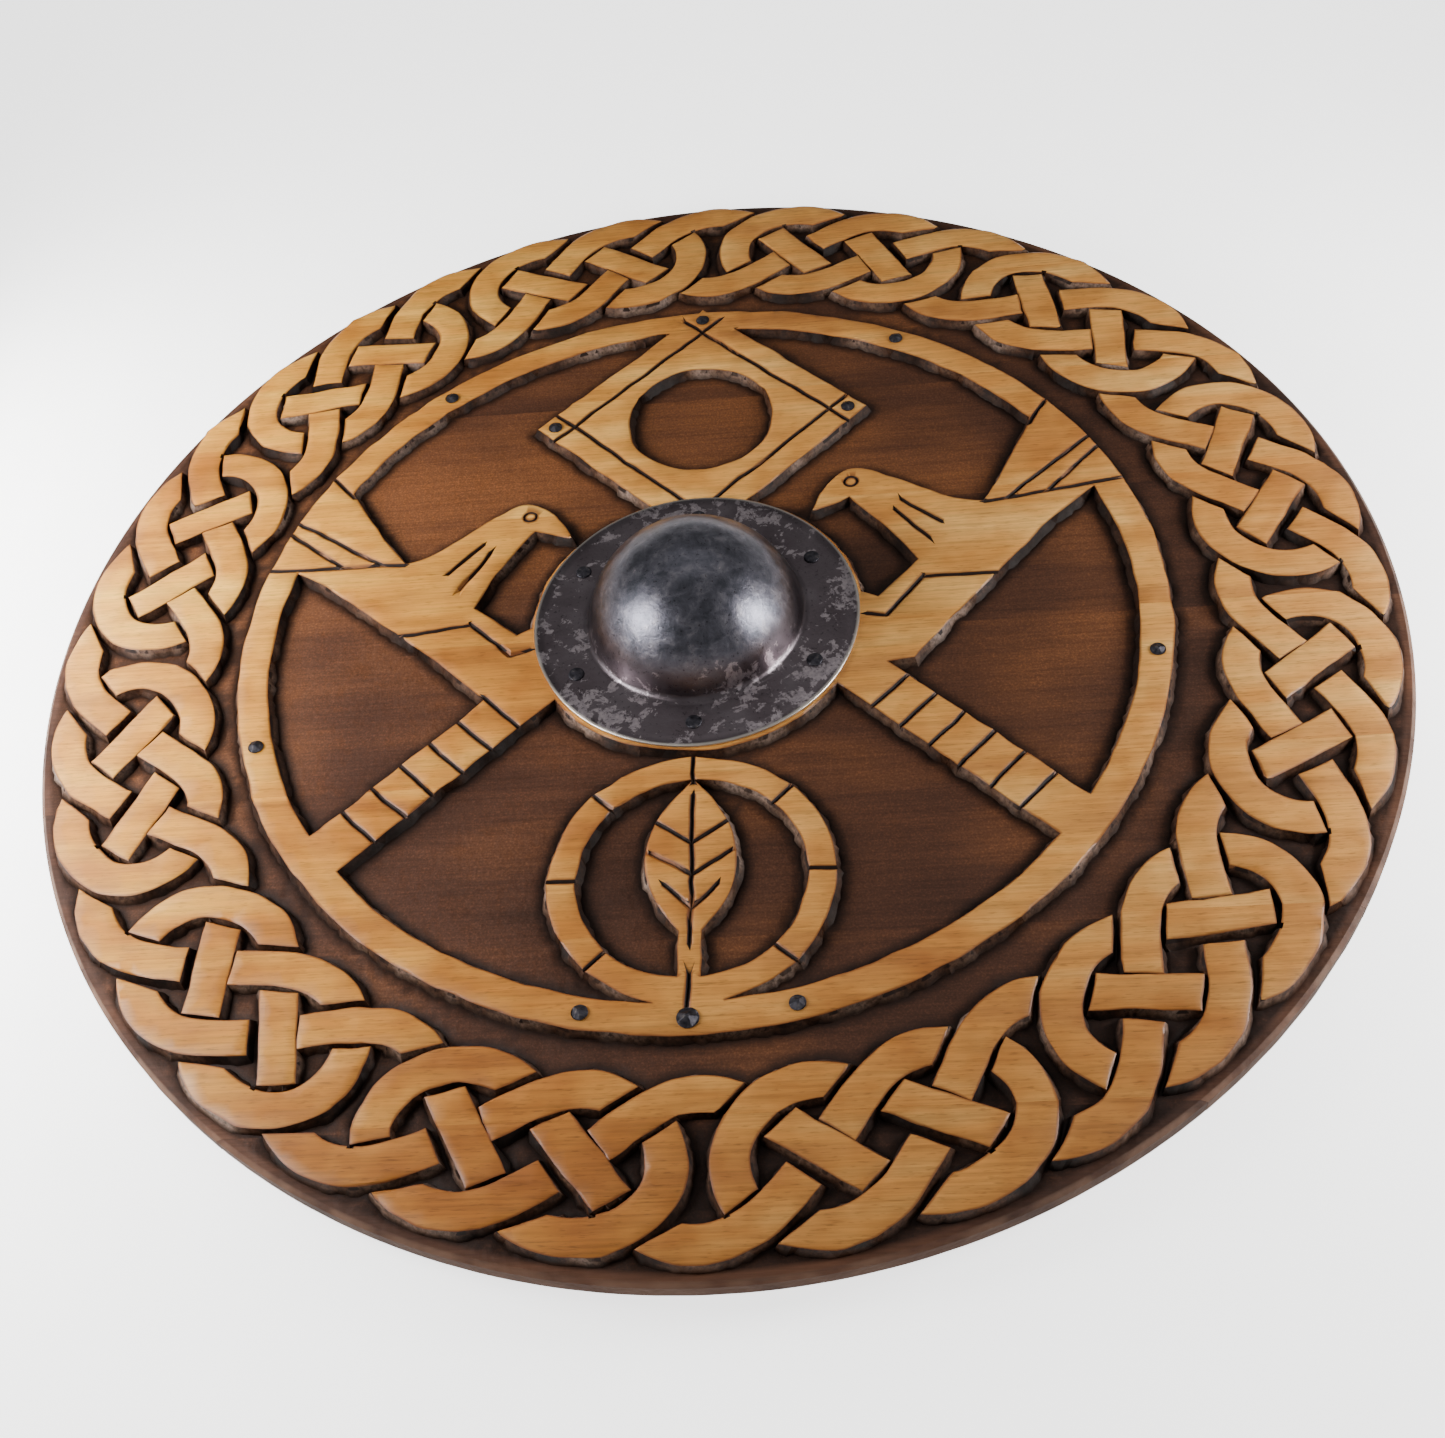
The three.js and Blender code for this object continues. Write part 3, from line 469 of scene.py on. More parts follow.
def level_under(node):
    surface = BVHTree.FromObject(node, bpy.context.evaluated_depsgraph_get())

    def level(x, y):
        hit, normal, _, _ = surface.ray_cast(Vector((x, y, 100)) * MM, Vector((0, 0, -1)))
        if not hit or hit.z < ABOVE_BACK * MM or normal.z < FLAT:
            return None
        return RELIEF_TOP if hit.z > BETWEEN_LEVELS * MM else GROUND

    return level


def outward(points, lines):
    ways = {"top": np.zeros((len(points), 2)), "foot": np.zeros((len(points), 2))}
    for p, q, kind, sign in lines:
        if sign:
            along = points[q, :2] - points[p, :2]
            side = sign * np.array([-along[1], along[0]]) / max(np.linalg.norm(along), 1e-9)
            ways[kind][p] += side
            ways[kind][q] += side
    for side in ways.values():
        length = np.linalg.norm(side, axis=1, keepdims=True)
        side /= np.where(length > 0.5, length, np.inf)
    return ways


def rows_beside(points, ways, level):
    tree, rows = nearest(points), []
    for kind, away, height in ROWS:
        for i in np.flatnonzero(np.abs(ways[kind]).sum(1)):
            x, y = points[i, :2] + away * ways[kind][i]
            if tree.find((x, y, 0))[2] > 0.8 * away and level(x, y) == height:
                rows.append((x, y, height))
    return rows


def grid_points(name, taken, level):
    tree = nearest(taken)
    low, high = box_mm(name)
    dice = random.Random(name)
    found = []
    for row in range(int((high.y - low.y) / NET) + 1):
        for column in range(int((high.x - low.x) / NET) + 1):
            x = low.x + NET * (column + 0.5 * (row % 2) + dice.uniform(-GRID_SHAKE, GRID_SHAKE))
            y = low.y + NET * (row + dice.uniform(-GRID_SHAKE, GRID_SHAKE))
            clear = tree.find((x, y, 0))[2] > GRID_CLEAR
            if clear and far_from(Vector((x, y)), hidden_holes, GRID_HOLE_CLEAR) and level(x, y):
                found.append((x, y, level(x, y)))
    return found


def eye_rings(low_y, high_y):
    rings = []
    for x, y in EYES:
        if not low_y - 3 < y < high_y + 3:
            continue
        for reach in (EYE_RADIUS - EYE_CUT_HALF, EYE_RADIUS, EYE_RADIUS + EYE_CUT_HALF):
            start, stop = 0.0, 2 * math.pi
            if y - reach < low_y:
                start = math.asin((low_y - y) / reach)
                stop = math.pi - start
            elif y + reach > high_y:
                start = math.pi - math.asin((high_y - y) / reach)
                stop = 3 * math.pi - start
            turns = [start + (stop - start) * k / RING_STEPS for k in range(RING_STEPS + 1)]
            rings.append([(x + reach * math.cos(t), y + reach * math.sin(t), RELIEF_TOP) for t in turns])
    return rings


beside = rows_beside(points, outward(points, lines), level_under(nodes["plank_6"]))
print("points beside the creases of plank_6:", len(beside))

# %% [markdown]
# The hand shows in two sizes of waver. A slow one, `DRIFT`, bends an outline by half a millimetre every few
# centimetres, and a quick one, `PUSH`, comes from each push of the chisel. `SCALLOP` is the bite of a wide
# gouge, and `MEAN_BITE` takes off what the bites add on average, so that nothing leaves its place. In height,
# the foot of a wall has a `STOP_CUT`, the raised wood is `SANDED` a little, its edge, the `ARRIS`, is rubbed
# down, and the ground is rougher in the border than in the open field. A name with `MORE` is what the noise
# adds to it. All come from one smooth noise over the whole board, so an outline carries on across a joint.
# Points on a joint slide only along it, which keeps the planks apart. The CAD rim has 72 straight sides, and
# `true_circle` puts its points on a round.


# %% Move the points as the hand did
DRIFT, PUSH, SCALLOP, MEAN_BITE = 0.6, 0.3, 1.7, 0.4
CALM_RIM, CALM_HOLE = 2.5, 2.0
NICK, STOP_CUT, STOP_CUT_MORE = 0.5, 0.35, 0.9
SANDED, ARRIS, ARRIS_MORE = 0.14, 0.3, 0.9
BORDER_WIDTH, ROUGH_BORDER, ROUGH_FIELD = 135, 0.5, 0.22
RIM_SIDES, RIM_BAND, ON_JOINT = 72, 4, 0.01


def wave(x, y, mm, seed):
    return noise.noise(Vector((x / mm, y / mm, seed)))


def ease(value):
    value = min(1.0, max(0.0, value))
    return value * value * (3 - 2 * value)


def waver(x, y, drift_seed, push_seed, scallop_seed):
    drift, push = wave(x, y, 30, drift_seed), wave(x, y, 9, push_seed)
    return DRIFT * drift + PUSH * push + SCALLOP * abs(wave(x, y, 25, scallop_seed)) - MEAN_BITE


def by_hand(x, y, z, kind, low_y, high_y):
    from_rim = RIM_RADIUS - math.hypot(x, y)
    from_boss = math.hypot(x - BOSS_X, y - BOSS_Y)
    amount = ease((from_rim - CALM_RIM) / 6) * ease((from_boss - HAND_HOLE - CALM_HOLE) / 10)
    clear = ease(min(y - low_y, high_y - y) / 5)
    dx = waver(x, y, 1.5, 4.5, 21.5)
    dy = waver(x, y, 7.5, 9.5, 23.5)
    if kind == "foot":
        dx += NICK * wave(x, y, 5, 11.5) * clear
        dy += NICK * wave(x, y, 5, 13.5)
        z -= amount * clear * (STOP_CUT + STOP_CUT_MORE * abs(wave(x, y, 8, 2.5)))
    elif z > RELIEF_TOP - 0.05:
        z -= amount * SANDED * (1 + wave(x, y, 40, 3.5))
        if kind == "top":
            z -= amount * clear * (ARRIS + ARRIS_MORE * abs(wave(x, y, 26, 5.5)))
    elif z < GROUND + 0.05:
        rough = ROUGH_BORDER if from_rim < BORDER_WIDTH else ROUGH_FIELD
        z += amount * rough * (wave(x, y, 13, 6.5) + 0.5 * wave(x, y, 6, 8.5))
    return x + amount * dx, y + amount * clear * dy, z


def true_circle(x, y, low_y, high_y):
    if math.hypot(x, y) < RIM_RADIUS - RIM_BAND:
        return x, y
    side = 2 * math.pi / RIM_SIDES
    angle = math.atan2(x, y) % side - side / 2
    chord = math.cos(side / 2) / math.cos(angle)
    if min(y - low_y, high_y - y) < ON_JOINT:
        return math.copysign(math.sqrt((x * x + y * y) / chord ** 2 - y * y), x), y
    return x / chord, y / chord


corner = by_hand(BOSS_X, 180, RELIEF_TOP, "top", 0, 400)
print("one corner of the lozenge's window goes to", [round(v, 2) for v in corner])

# %% [markdown]
# A chisel does not hold one angle. The foot of each wall is pushed outwards here by an uneven amount, up to
# about two millimetres, so that every few millimetres the wall has another slope, as separate cuts leave it.
# Where two walls face each other across a narrow groove, the feet move less and the groove stays a V.


# %% Let the walls lean by different amounts
ROOM, LEAN, SHARE_OF_ROOM, AHEAD = 8.0, 2.4, 0.3, 0.6


def spread_feet(points, ways, low_y, high_y):
    tree, moved = nearest(points), points.copy()
    for i in np.flatnonzero(np.abs(ways).sum(1)):
        way = Vector(ways[i])
        room = ROOM
        for co, index, distance in tree.find_range((points[i, 0], points[i, 1], 0), room):
            step = co.to_2d() - Vector(points[i, :2])
            if index != i and step.dot(way) > AHEAD * distance:
                room = min(room, distance)
        share = 0.2 + 1.3 * abs(wave(points[i, 0], points[i, 1], 7, 17.5)) ** 0.7
        from_joint = min(points[i, 1] - low_y, high_y - points[i, 1])
        from_rim = RIM_RADIUS - math.hypot(*points[i, :2])
        free = ease(from_joint / 6) * ease((from_rim - 4) / 6)
        moved[i, :2] += np.array(way) * min(LEAN * share, SHARE_OF_ROOM * room) * free
    return moved


print("a foot with room moves by up to", LEAN, "mm")

# %% [markdown]
# Now the points come together: the creases, the rows beside them, the grid and the rings of the eyes. A
# constrained Delaunay net joins them with triangles that are as even as they can be and never cross a crease.
# Filling each outline as one large face would be shorter, but a large face has no points to move. Triangles
# that lie wholly on a joint or in the hand hole are dropped.

# %% Gather a plank's points and weave the net
INSIDE = 1


def woven(node):
    low, high = box_mm(node.name)
    points, lines = split_lines(creases(node))
    points = smoothed(points, lines)
    level = level_under(node)
    ways = outward(points, lines)
    points = spread_feet(points, ways["foot"], low.y, high.y)
    kinds = [""] * len(points)
    for rank in ("end", "cut", "foot", "top"):
        for p, q, kind, _ in lines:
            if kind == rank:
                kinds[p] = kinds[q] = kind
    edges = [(p, q) for p, q, _, _ in lines]
    spots = [tuple(p) for p in points] + rows_beside(points, ways, level)
    spots += grid_points(node.name, spots, level)
    kinds += [""] * (len(spots) - len(kinds))
    for ring in eye_rings(low.y, high.y):
        first = len(spots)
        spots += ring
        kinds += ["cut"] * len(ring)
        edges += [(first + k, first + k + 1) for k in range(len(ring) - 1)]
    net, _, faces, origins, _, _ = delaunay_2d_cdt(
        [Vector(s[:2]) for s in spots], edges, [], INSIDE, 0.001, True)

    def on_joint(i):
        return min(abs(net[i].y - low.y), abs(net[i].y - high.y)) < ON_JOINT

    def in_hand_hole(i):
        return not far_from(net[i], [(BOSS_X, BOSS_Y)], HAND_HOLE + 0.3)

    faces = [face for face in faces
             if not all(on_joint(i) for i in face) and not all(in_hand_hole(i) for i in face)]
    heights, ranks = [], []
    for spot, origin in zip(net, origins):
        height = spots[origin[0]][2] if origin else (RELIEF_TOP + GROUND) / 2
        if not far_from(spot, EYES, EYE_CLEAR):
            height = RELIEF_TOP - eye_depth(spot.x, spot.y)
        heights.append(height)
        ranks.append(kinds[origin[0]] if origin else "cut")
    return net, heights, ranks, faces


net, heights, ranks, faces = woven(nodes["plank_6"])
print("net of plank_6:", len(net), "points", len(faces), "triangles")

# %% [markdown]
# Every piece ends in the same two moves. `placed` makes an object of a finished mesh and puts it into the
# scene, and `fitted` gives it its finish, hangs it on the body it rides on and hides the CAD solid it stands
# for. Nothing on this shield moves, so all pieces ride on the root.


# %% Place a piece and fit it to the frame
def placed(name, mesh):
    data = bpy.data.meshes.new(name)
    mesh.to_mesh(data)
    mesh.free()
    piece = bpy.data.objects.new(name, data)
    bpy.context.scene.collection.objects.link(piece)
    return piece


def fitted(piece, node, finish):
    piece.data.materials.append(finish)
    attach(piece, "root")
    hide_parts(node)
    return piece


print("placing helpers ready")

# %% [markdown]
# The moved net is the carved face. Its border is pushed straight down to the back of the board, which gives
# the joints, the sawn edge and the hand hole, and one flat face closes the back. The mesh also keeps for
# every point how far it is from the nearest crease, as a named number that a material can read: edges are
# where stain gathers, where hands rub and where the material paints shade beside the walls. `GLUED` is how
# far each joint's face moves on towards its neighbour, so that the 0.3 mm gap between two CAD planks closes
# to the hairline of a glued joint.

# %% Close the net into a solid plank
GLUED, EDGE_LIMIT = 0.13, 20.0
CREASE = math.radians(35)


def carved_plank(name):
    node = nodes[name]
    low, high = box_mm(name)
    net, heights, ranks, faces = woven(node)
    creased = nearest([tuple(p) for p, rank in zip(net, ranks) if rank in ("top", "foot", "cut")])
    mesh = bmesh.new()
    near_edge = mesh.verts.layers.float.new("edge_mm")
    made = []
    for spot, z, rank in zip(net, heights, ranks):
        x, y = true_circle(spot.x, spot.y, low.y, high.y)
        moved = Vector(by_hand(x, y, z, rank, low.y, high.y))
        if abs(moved.y - low.y) < ON_JOINT and low.y > 1 - RIM_RADIUS:
            moved.y -= GLUED
        if abs(moved.y - high.y) < ON_JOINT and high.y < RIM_RADIUS - 1:
            moved.y += GLUED
        vertex = mesh.verts.new(moved * MM)
        vertex[near_edge] = min(EDGE_LIMIT, creased.find((spot.x, spot.y, 0))[2])
        made.append(vertex)
    for face in faces:
        mesh.faces.new([made[i] for i in face])
    border = [edge for edge in mesh.edges if len(edge.link_faces) == 1]
    follow = {e.link_loops[0].link_loop_next.vert: e.link_loops[0].vert for e in border}
    ring = [border[0].verts[0]]
    while len(ring) < len(border):
        ring.append(follow[ring[-1]])
    beneath = [mesh.verts.new((v.co.x, v.co.y, BOARD_BACK * MM)) for v in ring]
    for i, vertex in enumerate(beneath):
        vertex[near_edge] = EDGE_LIMIT
        mesh.faces.new((ring[i - 1], ring[i], vertex, beneath[i - 1]))
    mesh.faces.new(beneath)
    for vertex in [v for v in mesh.verts if not v.link_faces]:
        mesh.verts.remove(vertex)
    bmesh.ops.recalc_face_normals(mesh, faces=mesh.faces)
    for face in mesh.faces:
        face.smooth = True
    for edge in mesh.edges:
        edge.smooth = len(edge.link_faces) == 2 and edge.calc_face_angle(0) < CREASE
    open_edges = sum(len(edge.link_faces) != 2 for edge in mesh.edges)
    return placed("carved_" + name, mesh), open_edges


# %% Rebuild the eight planks
for name in sorted(n for n in nodes if n.startswith("plank")):
    plank, open_edges = carved_plank(name)
    fitted(plank, name, lime)
    print(plank.name, "faces:", len(plank.data.polygons), "open edges:", open_edges)

# %% [markdown]
# The boss is a sheet of mild steel, heated and beaten over a stake until it is a dome with a flat flange,
# then blued in the fire and rubbed. The blue-black scale stays on the dome and wears off in grey islands on
# the flange, and the edge of the flange is rubbed bright. The distance from the boss's middle tells dome,
# flange and edge apart, so one material does for the whole sheet. A metal keeps the default IOR, because its
# colour comes from the base colour alone.

# %% Blued steel
blued, tree, shader, place = new_material("fire_blued_steel")
centred = add(tree, "VectorMath", [place, (-BOSS_X * MM, -BOSS_Y * MM, 0)], operation="ADD")
level = add(tree, "VectorMath", [centred, (1, 1, 0)], operation="MULTIPLY")
radius = add(tree, "VectorMath", [level], operation="LENGTH").outputs["Value"]
clouds = add(tree, "TexNoise", {"Vector": place, "Scale": size(30), "Detail": 4})
regions = add(tree, "TexNoise", {"Vector": place, "Scale": size(48)})
crumbs = add(tree, "TexNoise", {
    "Vector": place, "Scale": size(9), "Detail": 9, "Roughness": 0.68, "Distortion": 0.4})
specks = add(tree, "TexNoise", {"Vector": place, "Scale": size(2.2), "Detail": 3, "Roughness": 0.6})
scale_tone = add(tree, "ValToRGB", {"Fac": clouds}, stops=[
    (0.3, "#5f5559"), (0.55, "#6d6468"), (0.75, "#7c7478")])
dome_tone = add(tree, "ValToRGB", {"Fac": crumbs}, stops=[
    (0.36, "#5a5b63"), (0.52, "#706f79"), (0.66, "#8a878e")])
dome = add(tree, "MapRange", [radius, 66 * MM, 58 * MM])
bare_tone = add(tree, "ValToRGB", {"Fac": specks}, stops=[(0.35, "#958b90"), (0.65, "#b9adb0")])
on_flange = add(tree, "MapRange", [radius, 54 * MM, 66 * MM, -0.1, 0.02])
near_edge = add(tree, "MapRange", [radius, 86 * MM, 100 * MM, 0, 0.05])
wear = add(tree, "Math", [on_flange, near_edge], operation="ADD")
cluster = add(tree, "Math", [regions, 0.55], operation="MULTIPLY")
lifted = add(tree, "Math", [crumbs, cluster], operation="ADD")
lifted = add(tree, "Math", [lifted, wear], operation="ADD")
worn = add(tree, "MapRange", [lifted, 0.87, 0.9])
pitted = add(tree, "MapRange", [specks, 0.38, 0.33, 0, 0.6])
edge = add(tree, "MapRange", [radius, 99.5 * MM, 100.8 * MM])
steel = scale_tone
for amount, tone in ((dome, dome_tone), (worn, bare_tone), (pitted, "#3c363a"), (edge, "#e6ddd2")):
    steel = add(tree, "Mix", {"Factor": amount, "A": steel, "B": tone}, **OVER)
mottled = add(tree, "Math", [clouds, crumbs], operation="ADD")
dull = add(tree, "MapRange", [mottled, 0.75, 1.25, 0.28, 0.42])
pits = add(tree, "Bump", {"Height": crumbs, "Strength": 0.3, "Distance": 0.6 * MM})
pits = add(tree, "Bump", {"Height": specks, "Normal": pits, "Strength": 0.45, "Distance": 0.3 * MM})
fill(tree, shader, {"Base Color": steel, "Roughness": dull, "Normal": pits, "Metallic": 1.0})
print("fire blued steel:", len(tree.nodes), "nodes")

# %% [markdown]
# Rivets, nails and roves are wrought iron, forged at the bar's end and blackened in oil. The hammer leaves
# small flats, which are real faces further down. The oil leaves a dull black skin, brown-grey where rubbed.

# %% Blackened wrought iron
iron, tree, shader, place = new_material("blackened_wrought_iron")
skin = add(tree, "TexNoise", {"Vector": place, "Scale": size(3), "Detail": 5, "Roughness": 0.6})
black = add(tree, "ValToRGB", {"Fac": skin}, stops=[(0.35, "#2e2d32"), (0.58, "#48464c"), (0.76, "#716a66")])
dull = add(tree, "MapRange", [skin, 0.3, 0.7, 0.38, 0.6])
pits = add(tree, "Bump", {"Height": skin, "Strength": 0.35, "Distance": 0.4 * MM})
fill(tree, shader, {"Base Color": black, "Roughness": dull, "Normal": pits, "Metallic": 0.9})
print("blackened wrought iron:", len(tree.nodes), "nodes")

# %% [markdown]
# The battens and the grip are ash, planed by hand and stained. Ash has long open pores, so its grain is drawn
# as dark dashes along the piece, 1.1 mm wide, because the real ones, a third of that, would not show. Both
# pieces run across the planks, so their grain runs along Y. The hand has polished the grip, which makes it
# darker and smoother, so one function makes both woods from their tones and their roughness.


# %% Stained ash
def ash(name, tones, roughness):
    material, tree, shader, place = new_material(name)
    long = add(tree, "Mapping", {"Vector": place, "Scale": (1, 0.05, 1)})
    rings = add(tree, "TexNoise", {"Vector": long, "Scale": size(6), "Detail": 3, "Distortion": 0.4})
    pores = add(tree, "TexNoise", {"Vector": long, "Scale": size(1.1)})
    colour = add(tree, "ValToRGB", {"Fac": rings}, stops=[
        (0.3, tones[0]), (0.52, tones[1]), (0.72, tones[2])])
    dashes = add(tree, "ValToRGB", {"Fac": pores}, stops=[(0.34, 0.55), (0.46, 1.0)])
    colour = add(tree, "Mix", {"Factor": 1.0, "A": colour, "B": dashes}, **TIMES)
    open_grain = add(tree, "Bump", {"Height": dashes, "Strength": 0.3, "Distance": 0.3 * MM})
    fill(tree, shader, {"Base Color": colour, "Normal": open_grain, "Roughness": roughness, "IOR": 1.5})
    return material


batten_ash = ash("stained_ash", ("#5b3a24", "#75492c", "#8d603d"), 0.62)
grip_ash = ash("oiled_ash", ("#4a2d1b", "#653f26", "#7c5334"), 0.42)
print("ash materials ready")

# %% [markdown]
# The batten screws are common countersunk steel screws. Their thin zinc plating is a bright grey with a soft
# mottle where the crystals differ. These are too fine to show, and are drawn at 1.5 mm.

# %% Zinc plated steel
zinc, tree, shader, place = new_material("zinc_plated_steel")
mottle = add(tree, "TexNoise", {"Vector": place, "Scale": size(1.5), "Detail": 3})
plating = add(tree, "ValToRGB", {"Fac": mottle}, stops=[(0.35, "#8d9094"), (0.65, "#b3b5b8")])
dull = add(tree, "MapRange", [mottle, 0.3, 0.7, 0.3, 0.45])
fill(tree, shader, {"Base Color": plating, "Roughness": dull, "Metallic": 1.0})
print("zinc plated steel:", len(tree.nodes), "nodes")

# %% [markdown]
# A raised dome is never perfectly round: the planishing hammer leaves shallow dents about as wide as a thumb.
# The boss is turned here from a profile, as on a lathe, with many more steps than the CAD solid has, and then
# its points are moved a few tenths of a millimetre by a smooth noise. Both faces move together, because a
# dent in sheet metal shows on both sides.

# %% Profile of the sheet
DOME_RADIUS, DOME_HEIGHT, FILLET, FLANGE_RADIUS = 67.0, 60.0, 5.0, 101.6


def dome_profile(wall, fillet, base, steps=30):
    sphere = (wall ** 2 + DOME_HEIGHT ** 2) / (2 * DOME_HEIGHT)
    centre = DOME_HEIGHT - sphere
    reach = math.sqrt((sphere + fillet) ** 2 - (fillet - centre) ** 2)
    meet = math.atan2(fillet - centre, reach)
    points = []
    for i in range(steps + 1):
        angle = math.pi / 2 + (meet - math.pi / 2) * i / steps
        points.append((sphere * math.cos(angle), base + centre + sphere * math.sin(angle)))
    turn = math.pi / 2 - meet
    for i in range(1, 7):
        part = turn * (1 - i / 6)
        points.append((reach - fillet * math.sin(part), base + fillet * (1 - math.cos(part))))
    return points


outer = dome_profile(DOME_RADIUS, FILLET, FLANGE_BOTTOM + SHEET)
inner = dome_profile(DOME_RADIUS - SHEET, FILLET + SHEET, FLANGE_BOTTOM)
print("profile points:", len(outer) + len(inner))


# %% Turn the boss and dent it
def turned_mesh(name, profile, sides, centre, move=None):
    mesh = bmesh.new()
    rings = []
    for radius, z in profile:
        turns = [2 * math.pi * k / sides for k in range(sides if radius > 1e-6 else 1)]
        rings.append([mesh.verts.new((
            (centre[0] + radius * math.cos(turn)) * MM, (centre[1] + radius * math.sin(turn)) * MM, z * MM))
            for turn in turns])
    for first, second in zip(rings, rings[1:]):
        for k in range(sides):
            corners = [first[k % len(first)], first[(k + 1) % sides % len(first)],
                       second[(k + 1) % sides % len(second)], second[k % len(second)]]
            mesh.faces.new(list(dict.fromkeys(corners)))
    if move:
        for vertex in mesh.verts:
            vertex.co += move(vertex.co)
    bmesh.ops.recalc_face_normals(mesh, faces=mesh.faces)
    return placed(name, mesh)


WIDE_DENT, WIDE_DEPTH, SMALL_DENT, SMALL_DEPTH = 24, 0.5, 11, 0.22
FLANGE_WAVE, FLANGE_BEND, BEND_START, BEND_WIDTH = 45, 0.5, 85, 16


def dent(point):
    side = Vector((point.x - BOSS_X * MM, point.y - BOSS_Y * MM, 0))
    out = side.normalized() if side.length > 1e-6 else Vector((0, 0, 1))
    steep = max(0.0, 1 - side.length / (DOME_RADIUS * MM)) ** 0.5
    way = (out * (1 - steep) + Vector((0, 0, 1)) * steep).normalized()
    along = Vector((point.x, point.y, 0.0))
    if side.length < DOME_RADIUS * MM:
        wide, small = (noise.noise(along * size(mm)) for mm in (WIDE_DENT, SMALL_DENT))
        return way * (wide * WIDE_DEPTH + small * SMALL_DEPTH) * MM
    wobble = noise.noise(along * size(FLANGE_WAVE) + Vector((3, 7, 1))) * FLANGE_BEND
    return out * wobble * MM * max(0.0, (side.length / MM - BEND_START) / BEND_WIDTH)


def smooth_all(piece):
    for face in piece.data.polygons:
        face.use_smooth = True


FLANGE_TOP, ROUNDING = FLANGE_BOTTOM + SHEET, 0.5
edge = [(FLANGE_RADIUS - ROUNDING, FLANGE_BOTTOM), (FLANGE_RADIUS, FLANGE_BOTTOM + ROUNDING),
        (FLANGE_RADIUS, FLANGE_TOP - ROUNDING), (FLANGE_RADIUS - ROUNDING, FLANGE_TOP)]
spread = [(r, FLANGE_BOTTOM) for r in (78, 86, 94)]
spread_top = [(r, FLANGE_TOP) for r in (94, 86, 78)]
profile = [*inner, *spread, *edge, *spread_top, *reversed(outer)]
boss = turned_mesh("domed_boss", profile, 160, (BOSS_X, BOSS_Y), dent)
smooth_all(boss)
fitted(boss, "boss", blued)
print("boss faces:", len(boss.data.polygons))

# %% [markdown]
# The fittings are small but each one was shaped by hand. A nail's head is drawn to a low point by about five
# hammer blows, and each blow leaves a flat. Here a head is turned as a smooth dome first, and then every
# point that lies above a tilted plane is pressed down onto it, which is just what the hammer does. Modelling
# the flats one by one would also work, but sixteen heads would need sixteen drawings.


# %% Nails with hammered heads
def blows(centre, head, count, tilt, press, seed):
    dice = random.Random(seed)
    turn = dice.uniform(0, 6)
    planes = []
    for k in range(count):
        angle = turn + 2 * math.pi * (k + dice.uniform(-0.16, 0.16)) / count
        lean = math.radians(tilt + dice.uniform(-6, 6))
        way = Vector((math.sin(lean) * math.cos(angle), math.sin(lean) * math.sin(angle), math.cos(lean)))
        planes.append((way, press * dice.uniform(0.94, 1.05)))

    def press_down(point):
        from_middle = point / MM - Vector((*centre, head))
        moved = from_middle.copy()
        for way, reach in planes:
            beyond = moved.dot(way) - reach
            if moved.z > 0 and beyond > 0:
                moved -= way * beyond
        return (moved - from_middle) * MM

    return press_down


def dome_rings(radius, base, top, rings=7):
    quarter = math.pi / 2
    return [(radius * math.cos(quarter * k / rings), base + (top - base) * math.sin(quarter * k / rings))
            for k in range(rings)] + [(0.0, top)]


def fittings(label):
    for name in sorted(n for n in nodes if label in n):
        low, high = box_mm(name)
        yield name, low, high, ((low + high) / 2).to_2d()


SHANK = 1.7
for name, low, high, centre in fittings("_nail_"):
    head = (high.x - low.x) / 2
    base = FLANGE_BOTTOM - 0.3
    shank = [(0.0, low.z), (0.5, low.z), (SHANK, low.z + 3), (SHANK, base), (head - 0.4, base),
             (head, base + 0.3)]
    dome = dome_rings(head, base + 0.7, high.z + 0.4)
    hammer = blows(centre, base + 0.7, count=5, tilt=34, press=0.46 * head, seed=name)
    nail = turned_mesh("forged_" + name, shank + dome, 40, centre, hammer)
    fitted(nail, name, iron)
print("nails forged")

# %% [markdown]
# The boss rivets are plainer. Their heads were set flat with a punch and filed, so they are low discs with
# soft edges in the same tone as the flange. Behind the board each shank goes through a square plate and is
# beaten out over it.

# %% Boss rivets
RIVET_SHANK, RIVET_HEAD, RIVET_TAIL = 2.5, 5.0, 3.6
for name, low, high, centre in fittings("boss_rivet"):
    tail = [(0.0, low.z), (2.0, low.z + 0.15), (3.2, low.z + 0.7), (RIVET_TAIL, low.z + 1.4),
            (RIVET_SHANK, low.z + 1.5)]
    disc = [(RIVET_SHANK, FLANGE_TOP - 0.1), (RIVET_HEAD - 0.1, FLANGE_TOP - 0.05),
            (RIVET_HEAD, FLANGE_TOP + 0.4), (RIVET_HEAD - 0.5, FLANGE_TOP + 1.1),
            (RIVET_HEAD - 1.6, FLANGE_TOP + 1.5), (1.6, FLANGE_TOP + 1.65), (0.0, FLANGE_TOP + 1.7)]
    hammer = blows(centre, FLANGE_TOP, count=3, tilt=9, press=1.45, seed=name)
    rivet = turned_mesh("set_" + name, tail + disc, 36, centre, hammer)
    smooth_all(rivet)
    fitted(rivet, name, iron)
print("rivets set")

# %% [markdown]
# The square plates were cut from a strip with a chisel, and the battens were planed by hand, so neither has a
# sharp edge. Each is a copy of its CAD mesh here: the triangles of a flat side are joined into one face
# again, and then every sharp edge is rounded by a bevel, 0.35 mm wide on iron and 0.8 mm on wood.


